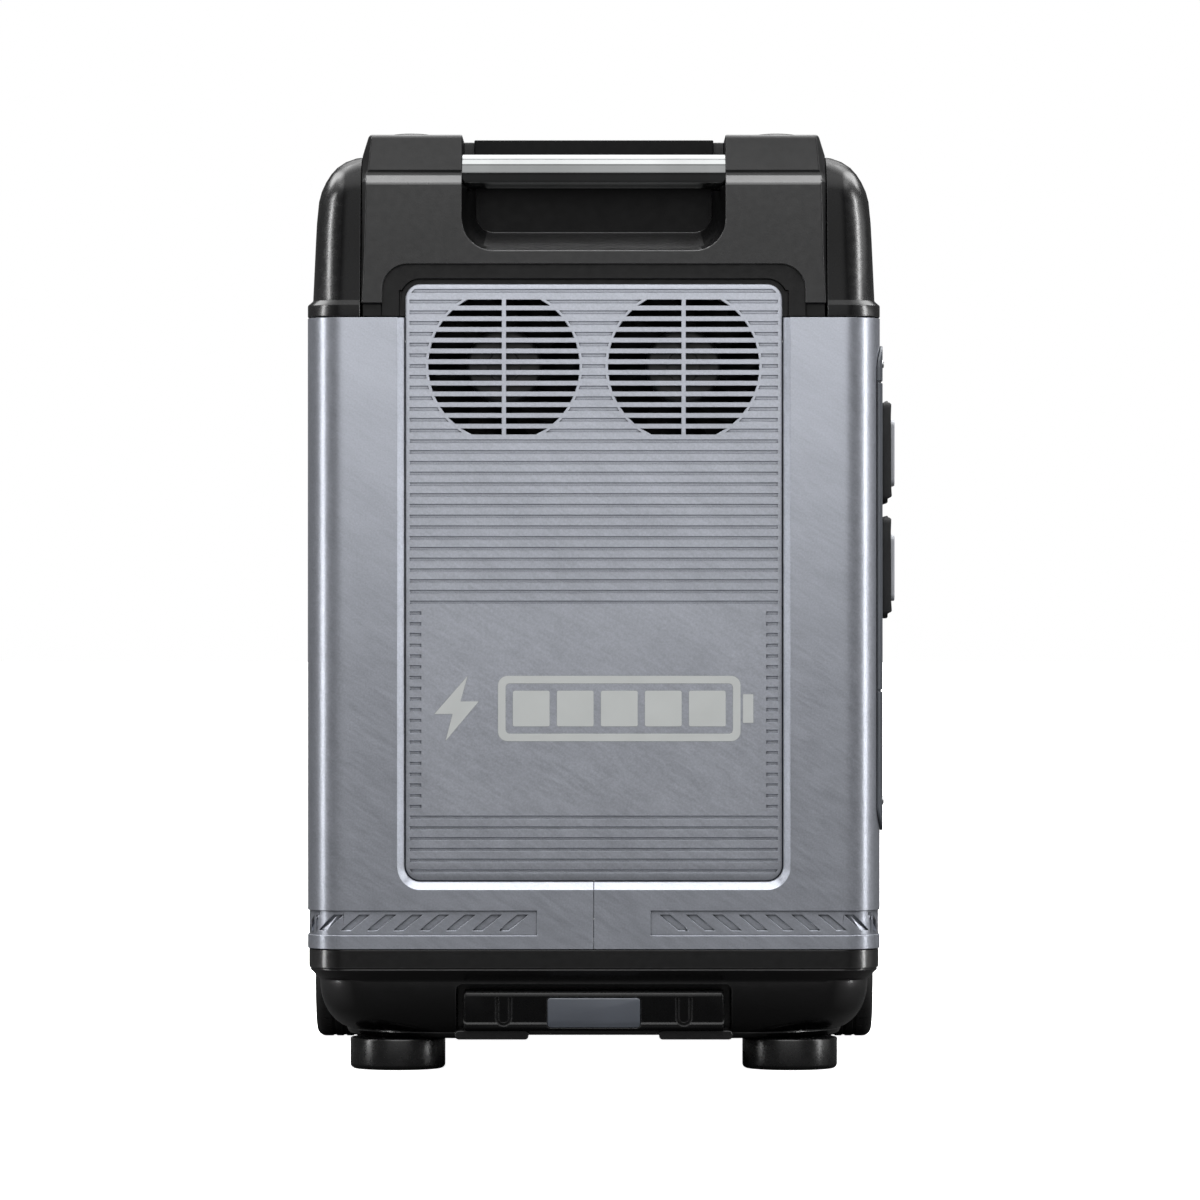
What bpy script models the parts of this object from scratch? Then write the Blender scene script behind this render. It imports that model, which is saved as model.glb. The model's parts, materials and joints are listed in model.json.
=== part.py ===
"""Wheeled portable power station, built from separate sub-parts.

Metres, +Z up. The origin is at the centre of the footprint on the floor. The near end is -Y, with the
trolley grip, the feet and the exhaust fans. The far end is +Y, with the wheels. The front, with the
sockets and the display, is +X. The rear, with the input ports, is -X.
"""

import math

import bmesh
import bpy
from mathutils import Matrix, Vector

# Body ------------------------------------------------------------------------------------------
HALF_W = 0.180
HALF_L = 0.220
CORNER_R = 0.025
WALL = 0.003
GAP = 0.0003
PAST = 0.02  # how far a cutter runs past the face it opens

# Base tray -------------------------------------------------------------------------------------
BASE_BOTTOM = 0.020
BASE_TOP = 0.077
BASE_HALF_W = 0.1792
BASE_HALF_L = 0.2192
# How far the tray's side stands in from its widest, at each height: a flared skirt and an upright band.
BASE_PROFILE = (
    (0.0226, BASE_BOTTOM),
    (0.0219, 0.0240),
    (0.0190, 0.0275),
    (0.0133, 0.0357),
    (0.0090, 0.0457),
    (0.0066, 0.0563),
    (0.0, 0.0645),
    (0.0, BASE_TOP),
)
TRAY_HOLLOW = (
    (0.0290, 0.0250),
    (0.0150, 0.0450),
    (0.0100, 0.0620),
    (0.0060, 0.0680),
    (0.0060, 0.0900),
)

# Feet and wheels -------------------------------------------------------------------------------
FOOT_X = 0.124
FOOT_Y = -0.168
FOOT_R = 0.030
FOOT_H = BASE_BOTTOM - GAP
WHEEL_R = 0.046
WHEEL_Y = HALF_L - WHEEL_R
TYRE_IN = 0.150
TYRE_OUT = 0.188
RIM_R = 0.033
AXLE_R = 0.006
WELL_R = 0.0505
WELL_IN = 0.146
ARCH_R = 0.056
ARCH_IN = 0.142

# Trolley handle --------------------------------------------------------------------------------
BAY_HALF_W = 0.0864
BAY_TOP = 0.055
BAY_BACK = -0.158
BAY_WALL = 0.004
RAIL_X = 0.0565
RAIL_Z = 0.0375
GUIDE_HALF = (0.0120, 0.0100)
MIDDLE_HALF = (0.0102, 0.0082)
ROD_HALF = (0.0084, 0.0064)
TUBE_WALL = 0.0015
GRIP_HALF_W = 0.0818
GRIP_Z = (0.026, 0.051)
GRIP_Y = (-0.2165, -0.184)
RELEASE_HALF = (0.029, 0.0092)
RELEASE_Z = 0.0374
RELEASE_SEAT = 0.0085  # depth of the pocket it is pressed into

# Shells and end panels -------------------------------------------------------------------------
SHELL_Z = (BASE_TOP + GAP, 0.4730)
PANEL_HALF_W = 0.118
PANEL_Z = (0.1202, 0.4939)
PANEL_R = 0.0094
PANEL_T = 0.004
PANEL_FACE = 0.2160
REVEAL = 0.0048  # the chamfer round the sunk end panel, measured across the end face
REVEAL_DEPTH = 0.0040
FAN_X = 0.0563
FAN_Z = 0.4426
GRILLE_R = 0.0474
SLOT_ROWS = 13
SLOT_PITCH = 0.006734
SLOT_H = 0.00366
SLOT_TOP = 0.4842
RIB_HALF = 0.0014

# Fans ------------------------------------------------------------------------------------------
FAN_HALF = 0.050
FAN_BORE_R = 0.0478
FAN_Y = (-0.2080, -0.1830)
ROTOR_Y = (-0.2060, -0.1910)
ROTOR_R = 0.0465
ROTOR_HUB_R = 0.024
BLADES = 7

# Top cover and handle yokes --------------------------------------------------------------------
COVER_PROFILE = (
    (0.0, 0.4736),
    (0.0, 0.4810),
    (0.0032, 0.4840),
    (0.0050, 0.5215),
    (0.0069, 0.5465),
    (0.0113, 0.5590),
    (0.0182, 0.5684),
    (0.0300, 0.5747),
    (0.0420, 0.5760),
)
COVER_HOLLOW = ((0.0064, 0.4600), (0.0082, 0.5215), (0.0105, 0.5440), (0.0215, 0.5640), (0.0420, 0.5725))
YOKE_HALF_W = 0.145
YOKE_BACK = -0.1493
POST_IN = 0.0825
POST_OUT = 0.137
POST_TOP = 0.5878
SLOPE_Z = 0.5640  # the post's face leans back from this height, to this Y at the top
SLOPE_Y = -0.2145
SHOULDER_Z = 0.576
POCKET_FLOOR = 0.515
POCKET_R = 0.0195
POCKET_BACK = -0.160
BACK_WALL_TOP = 0.5834
ARCH_HALF_W = 0.1325
ARCH_TOP = 0.5064
ARCH_CORNER_R = 0.016
LEG_BOTTOM = 0.482
WEB_Y = (-0.2117, -0.2085)
TUBE_R = 0.011
TUBE_Y = -0.203
TUBE_Z = 0.565
TUBE_END = 0.0995
CAP_X = 0.115
CAP_Y = -0.185
CAP_R = 0.0165
CAP_Z = (0.5845, 0.590)

# Front panel -----------------------------------------------------------------------------------
FRONT_Z = (0.151, 0.456)
FRONT_HALF_L = 0.206
FRONT_R = 0.015
FRONT_PROUD = 0.0018
FRONT_BACK = 0.168
WINDOW_HALF_L = 0.192
WINDOW_Z = (0.163, 0.444)
SOCKET_YS = (-0.148, -0.076)
SOCKET_ZS = (0.3897, 0.3171)
SOCKET_HALF = 0.027
SOCKET_WELL_R = 0.0195
SOCKET_WELL_DEPTH = 0.0175
COVER_HALF = (0.033, 0.03275)
COVER_X = (0.1822, 0.1920)
COVER_HINGE = (0.1856, 0.0290)  # the hinge's X, and its height above the cover's centre
COVER_HINGE_R = 0.0032
DISPLAY_Y = (-0.012, 0.122)
DISPLAY_Z = (0.330, 0.422)
BUTTON_X = (0.172, 0.1832)
# Each button's Y, Z and radius.
BUTTONS = {
    "power_button": (0.160, 0.376, 0.0140),
    "ac_button": (0.020, 0.292, 0.0090),
    "dc_button": (0.090, 0.292, 0.0090),
}
PORTS_Y = (-0.012, 0.122)
PORTS_Z = (0.182, 0.216)
# Each small port's Y and half size; then the car socket's Y and radius.
USB_PORTS = (
    (0.008, 0.0065, 0.0028),
    (0.030, 0.0065, 0.0028),
    (0.052, 0.0046, 0.0017),
    (0.070, 0.0046, 0.0017),
)
CAR_SOCKET = (0.101, 0.0105)

# Rear ports ------------------------------------------------------------------------------------
REAR_HALF_L = 0.110
REAR_Z = (0.295, 0.425)
REAR_FLOOR = -0.166
INLET_FACE = -0.1745
INLET_Z = 0.356
# Each inlet's Y, half width, half height and depth.
INLETS = {"ac_inlet": (0.050, 0.021, 0.0155, 0.016), "solar_inlet": (-0.045, 0.018, 0.0120, 0.010)}
DOOR_HINGE = (-0.1782, 0.4205)

# Inside ----------------------------------------------------------------------------------------
PLATE_HALF = (0.136, 0.206)
PLATE_Z = (0.0620, 0.0650)
CELL = (0.118, 0.050, 0.160)
CELLS = 8
MODULE_X = 0.003
MODULE_Z = PLATE_Z[1] + GAP
TERMINAL_X = 0.036
BMS_Z = 0.236
INVERTER_Z = 0.292
CHARGER_X = -0.140
SINK_Z = 0.378
SINK_FINS = 14

ROUND_STEPS = 4
TURN_STEPS = 24
WHEEL_STEPS = 32


# Mesh helpers ----------------------------------------------------------------------------------
def place(axis, a, b, along):
    """A point from its two coordinates across an axis and the one along it."""
    if axis == "X":
        return Vector((along, a, b))
    if axis == "Y":
        return Vector((a, along, b))
    return Vector((a, b, along))


def arc(centre, radius, start, end, steps=ROUND_STEPS):
    """Points on an arc, angles in degrees, both ends included."""
    points = []
    for i in range(steps + 1):
        angle = math.radians(start + (end - start) * i / steps)
        points.append((centre[0] + radius * math.cos(angle), centre[1] + radius * math.sin(angle)))
    return points


def rounded_rect(low, high, radius, steps=ROUND_STEPS):
    """A rectangle between two corners, with round corners."""
    (x0, y0), (x1, y1) = low, high
    corners = (
        ((x1 - radius, y0 + radius), -90),
        ((x1 - radius, y1 - radius), 0),
        ((x0 + radius, y1 - radius), 90),
        ((x0 + radius, y0 + radius), 180),
    )
    return [point for centre, start in corners for point in arc(centre, radius, start, start + 90, steps)]


def plan_outline(half_x, half_y, radius):
    return rounded_rect((-half_x, -half_y), (half_x, half_y), radius)


def add_loft(bm, rings):
    """Bridge a row of rings of equal length and close both ends."""
    loops = []
    for ring in rings:
        verts = [bm.verts.new(point) for point in ring]
        loops.append([bm.edges.new((a, b)) for a, b in zip(verts, verts[1:] + verts[:1])])
    bm.faces.new([edge.verts[0] for edge in loops[0]])
    for lower, upper in zip(loops, loops[1:]):
        for low_edge, high_edge in zip(lower, upper):
            bm.faces.new((*low_edge.verts, *reversed(high_edge.verts)))
    bm.faces.new([edge.verts[0] for edge in loops[-1]])


def add_prism(bm, outline, axis, low, high):
    """Extrude a closed outline along an axis."""
    add_loft(bm, [[place(axis, a, b, along) for a, b in outline] for along in (low, high)])


def add_box(bm, low, high):
    outline = ((low[0], low[1]), (high[0], low[1]), (high[0], high[1]), (low[0], high[1]))
    add_prism(bm, outline, "Z", low[2], high[2])


def add_turned(bm, profile, axis, centre, steps=TURN_STEPS):
    """Turn a profile of (radius, along) pairs about an axis, with a flat face at each end."""
    rings = [
        [place(axis, centre[0] + a, centre[1] + b, along) for a, b in arc((0, 0), radius, 0, 360, steps)[:-1]]
        for radius, along in profile
    ]
    add_loft(bm, rings)


def add_cylinder(bm, axis, centre, radius, low, high, steps=TURN_STEPS):
    add_turned(bm, ((radius, low), (radius, high)), axis, centre, steps)


def prism(outline, axis, low, high):
    bm = bmesh.new()
    add_prism(bm, outline, axis, low, high)
    return bm


def box(low, high):
    bm = bmesh.new()
    add_box(bm, low, high)
    return bm


def cylinder(axis, centre, radius, low, high, steps=TURN_STEPS):
    bm = bmesh.new()
    add_cylinder(bm, axis, centre, radius, low, high, steps)
    return bm


def inset_loft(profile, half_w, half_l):
    """A stack of round-cornered plan outlines, each standing in by the profile's amount."""
    bm = bmesh.new()
    rings = []
    for inset, z in profile:
        radius = max(CORNER_R - 0.5 * inset, 0.008)
        rings.append([Vector((x, y, z)) for x, y in plan_outline(half_w - inset, half_l - inset, radius)])
    add_loft(bm, rings)
    return bm


# Materials and objects -------------------------------------------------------------------------
def material(name, colour, roughness, metallic=0.0):
    made = bpy.data.materials.new(name)
    made.use_nodes = True
    shader = made.node_tree.nodes["Principled BSDF"]
    shader.inputs["Base Color"].default_value = (*colour, 1.0)
    shader.inputs["Roughness"].default_value = roughness
    shader.inputs["Metallic"].default_value = metallic
    return made


def mesh_object(name, bm, origin):
    """A mesh object from bm, given in world space, with its origin moved to the given point."""
    bmesh.ops.remove_doubles(bm, verts=bm.verts, dist=1e-7)
    bmesh.ops.recalc_face_normals(bm, faces=bm.faces)
    bmesh.ops.translate(bm, verts=bm.verts, vec=-Vector(origin))
    mesh = bpy.data.meshes.new(name)
    bm.to_mesh(mesh)
    bm.free()
    obj = bpy.data.objects.new(name, mesh)
    obj.location = origin
    bpy.context.scene.collection.objects.link(obj)
    return obj


def solid(name, bm, finish, origin=(0, 0, 0), parent=None):
    """A visible sub-part. A moving one has its origin on its joint."""
    obj = mesh_object(name, bm, origin)
    obj.data.materials.append(finish)
    obj.data.shade_smooth()
    obj.data.set_sharp_from_angle(angle=math.radians(32))
    if parent:
        bpy.context.view_layer.update()
        obj.parent = parent
        obj.matrix_parent_inverse = parent.matrix_world.inverted()
    return obj


def combine(obj, operation, bm):
    """Add a Boolean with a hidden helper made from bm, and return the helper."""
    helper = mesh_object(obj.name + "_" + operation.lower(), bm, (0, 0, 0))
    helper.hide_render = True
    helper.display_type = "WIRE"
    modifier = obj.modifiers.new(operation.title(), "BOOLEAN")
    modifier.operation = operation
    modifier.object = helper
    return helper


def cut(obj, bm):
    return combine(obj, "DIFFERENCE", bm)


def join(obj, bm):
    return combine(obj, "UNION", bm)


def keep(obj, bm):
    return combine(obj, "INTERSECT", bm)


def turned_round(obj, name, finish):
    """A second copy of a sub-part, turned half a turn about the upright axis, sharing its mesh."""
    copy = bpy.data.objects.new(name, obj.data)
    copy.rotation_euler = (0, 0, math.pi)
    copy.location = (-obj.location.x, -obj.location.y, obj.location.z)
    bpy.context.scene.collection.objects.link(copy)
    for modifier in obj.modifiers:
        twin = copy.modifiers.new(modifier.name, "BOOLEAN")
        twin.operation = modifier.operation
        helper = bpy.data.objects.new(name + "_helper", modifier.object.data)
        helper.rotation_euler = (0, 0, math.pi)
        helper.hide_render = True
        helper.display_type = "WIRE"
        bpy.context.scene.collection.objects.link(helper)
        twin.object = helper
    return copy


# Base ------------------------------------------------------------------------------------------
def rail_outline(side, half, grow=0.0):
    """The round-cornered section of a trolley tube, across its length."""
    low = (side * RAIL_X - half[0] - grow, RAIL_Z - half[1] - grow)
    high = (side * RAIL_X + half[0] + grow, RAIL_Z + half[1] + grow)
    return rounded_rect(low, high, 0.0030 + grow, 2)


def wheel_cylinder(side, radius, inner, outer):
    low, high = sorted((side * inner, side * outer))
    return cylinder("X", (WHEEL_Y, WHEEL_R), radius, low, high, WHEEL_STEPS)


def make_base(black):
    tray = solid("base_tray", inset_loft(BASE_PROFILE, BASE_HALF_W, BASE_HALF_L), black)
    for side in (-1, 1):
        arch = join(tray, wheel_cylinder(side, ARCH_R, ARCH_IN, HALF_W))
        band = plan_outline(BASE_HALF_W - 0.0002, BASE_HALF_L - 0.0002, CORNER_R)
        keep(arch, prism(band, "Z", 0.040, 0.120))
    hollow = cut(tray, inset_loft(TRAY_HOLLOW, BASE_HALF_W, BASE_HALF_L))
    bay_side = BAY_HALF_W + BAY_WALL
    cut(hollow, box((-bay_side, -HALF_L - PAST, 0), (bay_side, BAY_BACK + BAY_WALL, BAY_TOP + BAY_WALL)))
    for side in (-1, 1):
        cut(hollow, wheel_cylinder(side, ARCH_R, ARCH_IN, HALF_W + PAST))
    bay = rounded_rect((-BAY_HALF_W, -0.02), (BAY_HALF_W, BAY_TOP), 0.004, 3)
    cut(tray, prism(bay, "Y", -HALF_L - PAST, BAY_BACK))
    for side in (-1, 1):
        cut(tray, wheel_cylinder(side, WELL_R, WELL_IN, HALF_W + PAST))
        cut(tray, wheel_cylinder(side, AXLE_R + GAP, 0.12, WELL_IN + 0.01))
        cut(tray, prism(rail_outline(side, GUIDE_HALF, GAP), "Y", BAY_BACK - 0.01, BAY_BACK + 0.01))


def make_feet(rubber):
    for name, side in (("foot_front", 1), ("foot_rear", -1)):
        bm = bmesh.new()
        edge = [(FOOT_R - 0.0025 + r, z) for r, z in arc((0, 0.0025), 0.0025, -90, 0, 3)]
        add_turned(bm, edge + [(FOOT_R, FOOT_H)], "Z", (side * FOOT_X, FOOT_Y))
        solid(name, bm, rubber)


def make_wheels(rubber, plastic, steel):
    shoulder = 0.005
    for name, side in (("front", 1), ("rear", -1)):
        hub_centre = (side * 0.169, WHEEL_Y, WHEEL_R)
        centre = (WHEEL_Y, WHEEL_R)
        bm = bmesh.new()
        tread = arc((WHEEL_R - shoulder, TYRE_IN + shoulder), shoulder, -90, 0, 2)
        tread += arc((WHEEL_R - shoulder, TYRE_OUT - shoulder), shoulder, 0, 90, 2)
        profile = [(RIM_R, TYRE_IN), *tread, (RIM_R, TYRE_OUT)]
        add_turned(bm, [(r, side * x) for r, x in profile], "X", centre, WHEEL_STEPS)
        tyre = solid("tyre_" + name, bm, rubber, hub_centre)
        cut(tyre, wheel_cylinder(side, RIM_R - 0.0005, TYRE_IN - 0.01, TYRE_OUT + 0.01))
        bm = bmesh.new()
        hub_r = RIM_R - 0.0008
        profile = [(hub_r, 0.152), (hub_r, 0.1845), (hub_r - 0.006, 0.1868)]
        add_turned(bm, [(r, side * x) for r, x in profile], "X", centre, WHEEL_STEPS)
        hub = solid("wheel_hub_" + name, bm, plastic, hub_centre)
        cut(hub, wheel_cylinder(side, AXLE_R + 0.0004, 0.14, 0.20))
        cut(hub, wheel_cylinder(side, 0.0115, 0.1815, 0.20))
        bm = bmesh.new()
        profile = [(AXLE_R, 0.136), (AXLE_R, 0.182), (0.0105, 0.182), (0.0105, 0.1858), (0.0090, 0.1866)]
        add_turned(bm, [(r, side * x) for r, x in profile], "X", centre)
        solid("wheel_axle_" + name, bm, steel)


def make_trolley(black, alloy, grey):
    rest = {"guide": (BAY_BACK + 0.0015, 0.165), "middle": (-0.1600, 0.155), "rod": (GRIP_Y[1] + GAP, 0.145)}
    halves = {"guide": GUIDE_HALF, "middle": MIDDLE_HALF, "rod": ROD_HALF}
    for name, side in (("front", 1), ("rear", -1)):
        for stage, half in halves.items():
            low, high = rest[stage]
            made = prism(rail_outline(side, half), "Y", low, high)
            tube = solid(f"trolley_{stage}_{name}", made, alloy, (side * RAIL_X, low, RAIL_Z))
            cut(tube, prism(rail_outline(side, half, -TUBE_WALL), "Y", low - 0.01, high + 0.01))
    grip_origin = (0, GRIP_Y[1], RAIL_Z)
    outline = rounded_rect((-GRIP_HALF_W, GRIP_Z[0]), (GRIP_HALF_W, GRIP_Z[1]), 0.005, 4)
    grip = solid("trolley_grip", prism(outline, "Y", *GRIP_Y), black, grip_origin)
    grow = 0.0004
    low = (-RELEASE_HALF[0] - grow, RELEASE_Z - RELEASE_HALF[1] - grow)
    high = (RELEASE_HALF[0] + grow, RELEASE_Z + RELEASE_HALF[1] + grow)
    seat = rounded_rect(low, high, 0.0022, 3)
    cut(grip, prism(seat, "Y", GRIP_Y[0] - 0.01, GRIP_Y[0] + RELEASE_SEAT))
    low = (-RELEASE_HALF[0], RELEASE_Z - RELEASE_HALF[1])
    high = (RELEASE_HALF[0], RELEASE_Z + RELEASE_HALF[1])
    face = GRIP_Y[0] - 0.0005
    button = prism(rounded_rect(low, high, 0.0018, 3), "Y", face, face + 0.0050)
    solid("trolley_release", button, grey, (0, face, RELEASE_Z), grip)


# Shells and panels -----------------------------------------------------------------------------
def half_ring(side):
    """Plan outline of one half of the wall, split at the middle of both ends."""
    seam = GAP / 2
    inner_r = CORNER_R - WALL
    outer = [(seam, -HALF_L)]
    outer += arc((HALF_W - CORNER_R, CORNER_R - HALF_L), CORNER_R, -90, 0)
    outer += arc((HALF_W - CORNER_R, HALF_L - CORNER_R), CORNER_R, 0, 90)
    outer.append((seam, HALF_L))
    inner = [(seam, HALF_L - WALL)]
    inner += arc((HALF_W - CORNER_R, HALF_L - CORNER_R), inner_r, 90, 0)
    inner += arc((HALF_W - CORNER_R, CORNER_R - HALF_L), inner_r, 0, -90)
    inner.append((seam, WALL - HALF_L))
    return [(side * x, y) for x, y in outer + inner]


def panel_outline(grow, top):
    """The end panel's outline, grown by some amount, its top at the given height."""
    low = (-PANEL_HALF_W - grow, PANEL_Z[0] - grow)
    return rounded_rect(low, (PANEL_HALF_W + grow, top), PANEL_R + grow)


def reveal(end):
    """A flaring cutter: the sunk panel's opening, with the chamfer that leads down to it."""
    bm = bmesh.new()
    rings = []
    foot = HALF_L - REVEAL_DEPTH
    for grow, y in ((GAP, HALF_L - PAST), (GAP, foot), (REVEAL, HALF_L), (REVEAL, HALF_L + PAST)):
        rings.append([Vector((x, end * y, z)) for x, z in panel_outline(grow, PANEL_Z[1] + PAST)])
    add_loft(bm, rings)
    return bm


def make_shells(silver):
    lip_x = PANEL_HALF_W + 0.007
    lip_z = PANEL_Z[0] - 0.008
    lip_y = (HALF_L - 0.0015, HALF_L - 0.0088)
    for name, side in (("front_body_shell", 1), ("rear_body_shell", -1)):
        shell = solid(name, prism(half_ring(side), "Z", *SHELL_Z), silver)
        for end in (-1, 1):
            low_x, high_x = sorted((side * GAP / 2, side * lip_x))
            low_y, high_y = sorted((end * lip_y[0], end * lip_y[1]))
            join(shell, box((low_x, low_y, lip_z), (high_x, high_y, SHELL_Z[1])))
            cut(shell, reveal(end))
        cut(shell, wheel_cylinder(side, ARCH_R + GAP, ARCH_IN - GAP, HALF_W + PAST))
        if side > 0:
            window = rounded_rect((-WINDOW_HALF_L, WINDOW_Z[0]), (WINDOW_HALF_L, WINDOW_Z[1]), 0.010, 3)
            cut(shell, prism(window, "X", HALF_W - PAST, HALF_W + PAST))
        else:
            low = (-REAR_HALF_L - GAP, REAR_Z[0] - GAP)
            high = (REAR_HALF_L + GAP, REAR_Z[1] + GAP)
            cut(shell, prism(rounded_rect(low, high, 0.006, 3), "X", -HALF_W - PAST, PAST - HALF_W))


def grille_slots(bm, centre_x, low_y, high_y):
    """Slots of one round grille, split by its upright rib, with ends that follow the circle."""
    for row in range(SLOT_ROWS):
        top = SLOT_TOP - row * SLOT_PITCH
        bottom = top - SLOT_H
        reach_top = math.sqrt(GRILLE_R**2 - (top - FAN_Z) ** 2)
        reach_bottom = math.sqrt(GRILLE_R**2 - (bottom - FAN_Z) ** 2)
        for side in (-1, 1):
            outline = (
                (centre_x + side * RIB_HALF, bottom),
                (centre_x + side * reach_bottom, bottom),
                (centre_x + side * reach_top, top),
                (centre_x + side * RIB_HALF, top),
            )
            add_prism(bm, outline, "Y", low_y, high_y)


def make_end_panels(silver):
    outline = panel_outline(0, PANEL_Z[1])
    panel = solid("near_end_panel", prism(outline, "Y", -PANEL_FACE, PANEL_T - PANEL_FACE), silver)
    slots = bmesh.new()
    for centre_x in (-FAN_X, FAN_X):
        grille_slots(slots, centre_x, -PANEL_FACE - 0.002, PANEL_T - PANEL_FACE + 0.002)
    cut(panel, slots)
    turned_round(panel, "far_end_panel", silver)


# Fans ------------------------------------------------------------------------------------------
def blade(bm, centre, turn):
    """One swept, twisted blade from the hub to the tip."""
    low_y, high_y = ROTOR_Y
    thickness = 0.0014
    sections = []
    stations = 2
    for i in range(stations + 1):
        share = i / stations
        radius = ROTOR_HUB_R - 0.002 + (ROTOR_R - ROTOR_HUB_R + 0.002) * share
        sweep = turn + math.radians(16) * share
        half_chord = math.radians(17 - 2 * share)
        ring = []
        for angle, y, off in (
            (sweep - half_chord, low_y + 0.0015, 0),
            (sweep + half_chord, high_y - 0.0015, 0),
            (sweep + half_chord, high_y - 0.0015, 1),
            (sweep - half_chord, low_y + 0.0015, 1),
        ):
            angle += off * thickness / radius
            x = centre[0] + radius * math.cos(angle)
            ring.append(Vector((x, y, centre[1] + radius * math.sin(angle))))
        sections.append(ring)
    add_loft(bm, sections)


def make_fans(dark, grey):
    for name, side in (("front", 1), ("rear", -1)):
        centre = (side * FAN_X, FAN_Z)
        low = (centre[0] - FAN_HALF, centre[1] - FAN_HALF)
        high = (centre[0] + FAN_HALF, centre[1] + FAN_HALF)
        frame = solid("fan_frame_" + name, prism(rounded_rect(low, high, 0.005, 3), "Y", *FAN_Y), dark)
        cut(frame, cylinder("Y", centre, FAN_BORE_R, FAN_Y[0] - 0.01, FAN_Y[1] + 0.01, 28))
        spider = bmesh.new()
        add_cylinder(spider, "Y", centre, 0.0215, FAN_Y[1] - 0.0045, FAN_Y[1])
        join(frame, spider)
        for angle in (45, 135):
            arm = box((-0.0490, FAN_Y[1] - 0.0042, -0.0020), (0.0490, FAN_Y[1] - 0.0003, 0.0020))
            turn = Matrix.Rotation(math.radians(angle), 4, "Y")
            bmesh.ops.transform(arm, matrix=turn, verts=arm.verts)
            bmesh.ops.translate(arm, vec=(centre[0], 0, centre[1]), verts=arm.verts)
            join(frame, arm)
        bm = bmesh.new()
        add_turned(bm, ((0.0205, ROTOR_Y[0]), (ROTOR_HUB_R, ROTOR_Y[0] + 0.003), (ROTOR_HUB_R, ROTOR_Y[1])),
                   "Y", centre, 28)
        rotor = solid("fan_rotor_" + name, bm, grey, (centre[0], ROTOR_Y[1], centre[1]))
        blades = bmesh.new()
        for i in range(BLADES):
            blade(blades, centre, 2 * math.pi * i / BLADES)
        bmesh.ops.triangulate(blades, faces=blades.faces)
        join(rotor, blades)


# Top cover and handles -------------------------------------------------------------------------
def make_top_cover(black):
    cover = solid("top_cover", inset_loft(COVER_PROFILE, HALF_W, HALF_L), black)
    cut(cover, inset_loft(COVER_HOLLOW, HALF_W, HALF_L))
    notch = YOKE_HALF_W + GAP
    for low_y, high_y in ((-HALF_L - PAST, YOKE_BACK + GAP), (-YOKE_BACK - GAP, HALF_L + PAST)):
        cut(cover, box((-notch, low_y, 0.45), (notch, high_y, 0.60)))


def yoke_outline():
    """The yoke as the end view shows it: legs, arch and posts, with the pocket still closed."""
    right = [(ARCH_HALF_W, LEG_BOTTOM), (YOKE_HALF_W, LEG_BOTTOM), (YOKE_HALF_W, SHOULDER_Z)]
    right += arc((POST_OUT - 0.003, POST_TOP - 0.003), 0.003, 0, 90, 3)
    left = [(-x, z) for x, z in reversed(right)]
    arch = arc((-(ARCH_HALF_W - ARCH_CORNER_R), ARCH_TOP - ARCH_CORNER_R), ARCH_CORNER_R, 180, 90)
    arch += arc((ARCH_HALF_W - ARCH_CORNER_R, ARCH_TOP - ARCH_CORNER_R), ARCH_CORNER_R, 90, 0)
    return right + left + arch


def make_yokes(black, chrome):
    yoke = solid("near_handle_yoke", prism(yoke_outline(), "Y", -HALF_L, YOKE_BACK), black)
    web_half = ARCH_HALF_W + 0.002
    join(yoke, box((-web_half, WEB_Y[0], LEG_BOTTOM), (web_half, WEB_Y[1], ARCH_TOP + 0.002)))
    fan_holes = bmesh.new()
    for side in (-1, 1):
        add_cylinder(fan_holes, "Y", (side * FAN_X, FAN_Z), 0.0495, -0.23, WEB_Y[1] + 0.002, 28)
    cut(yoke, fan_holes)
    pocket = rounded_rect((-POST_IN, POCKET_FLOOR), (POST_IN, 0.62), POCKET_R, 5)
    cut(yoke, prism(pocket, "Y", -HALF_L - PAST, POCKET_BACK))
    cut(yoke, box((-POST_IN, POCKET_BACK - 0.001, BACK_WALL_TOP), (POST_IN, YOKE_BACK + PAST, 0.62)))
    low_y = -HALF_L - PAST
    slope = ((low_y, SLOPE_Z), (-HALF_L, SLOPE_Z), (SLOPE_Y, POST_TOP), (SLOPE_Y, 0.62), (low_y, 0.62))
    cut(yoke, prism(slope, "X", -HALF_W, HALF_W))
    cut(yoke, cylinder("X", (TUBE_Y, TUBE_Z), TUBE_R + GAP, -TUBE_END - GAP, TUBE_END + GAP))
    for side in (-1, 1):
        cut(yoke, cylinder("Z", (side * CAP_X, CAP_Y), CAP_R + GAP, CAP_Z[0] - GAP, 0.62))
        low, high = sorted((side * 0.0885, side * 0.1395))
        cut(yoke, box((low, -0.188, 0.47), (high, -0.154, 0.572)))
    turned_round(yoke, "far_handle_yoke", black)
    tube = solid("near_grip_tube", cylinder("X", (TUBE_Y, TUBE_Z), TUBE_R, -TUBE_END, TUBE_END), chrome)
    cut(tube, cylinder("X", (TUBE_Y, TUBE_Z), TUBE_R - 0.002, -TUBE_END - 0.01, TUBE_END + 0.01))
    turned_round(tube, "far_grip_tube", chrome)


def make_caps(black):
    for end, end_side in (("near", 1), ("far", -1)):
        for name, side in (("front", 1), ("rear", -1)):
            bm = bmesh.new()
            rim_z, top_z = CAP_Z
            dome = ((CAP_R, rim_z), (CAP_R, 0.5876), (0.0150, 0.5890), (0.0100, 0.5897), (0.0040, top_z))
            add_turned(bm, dome, "Z", (side * CAP_X, end_side * CAP_Y))
            solid(f"{end}_post_cap_{name}", bm, black)


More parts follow.
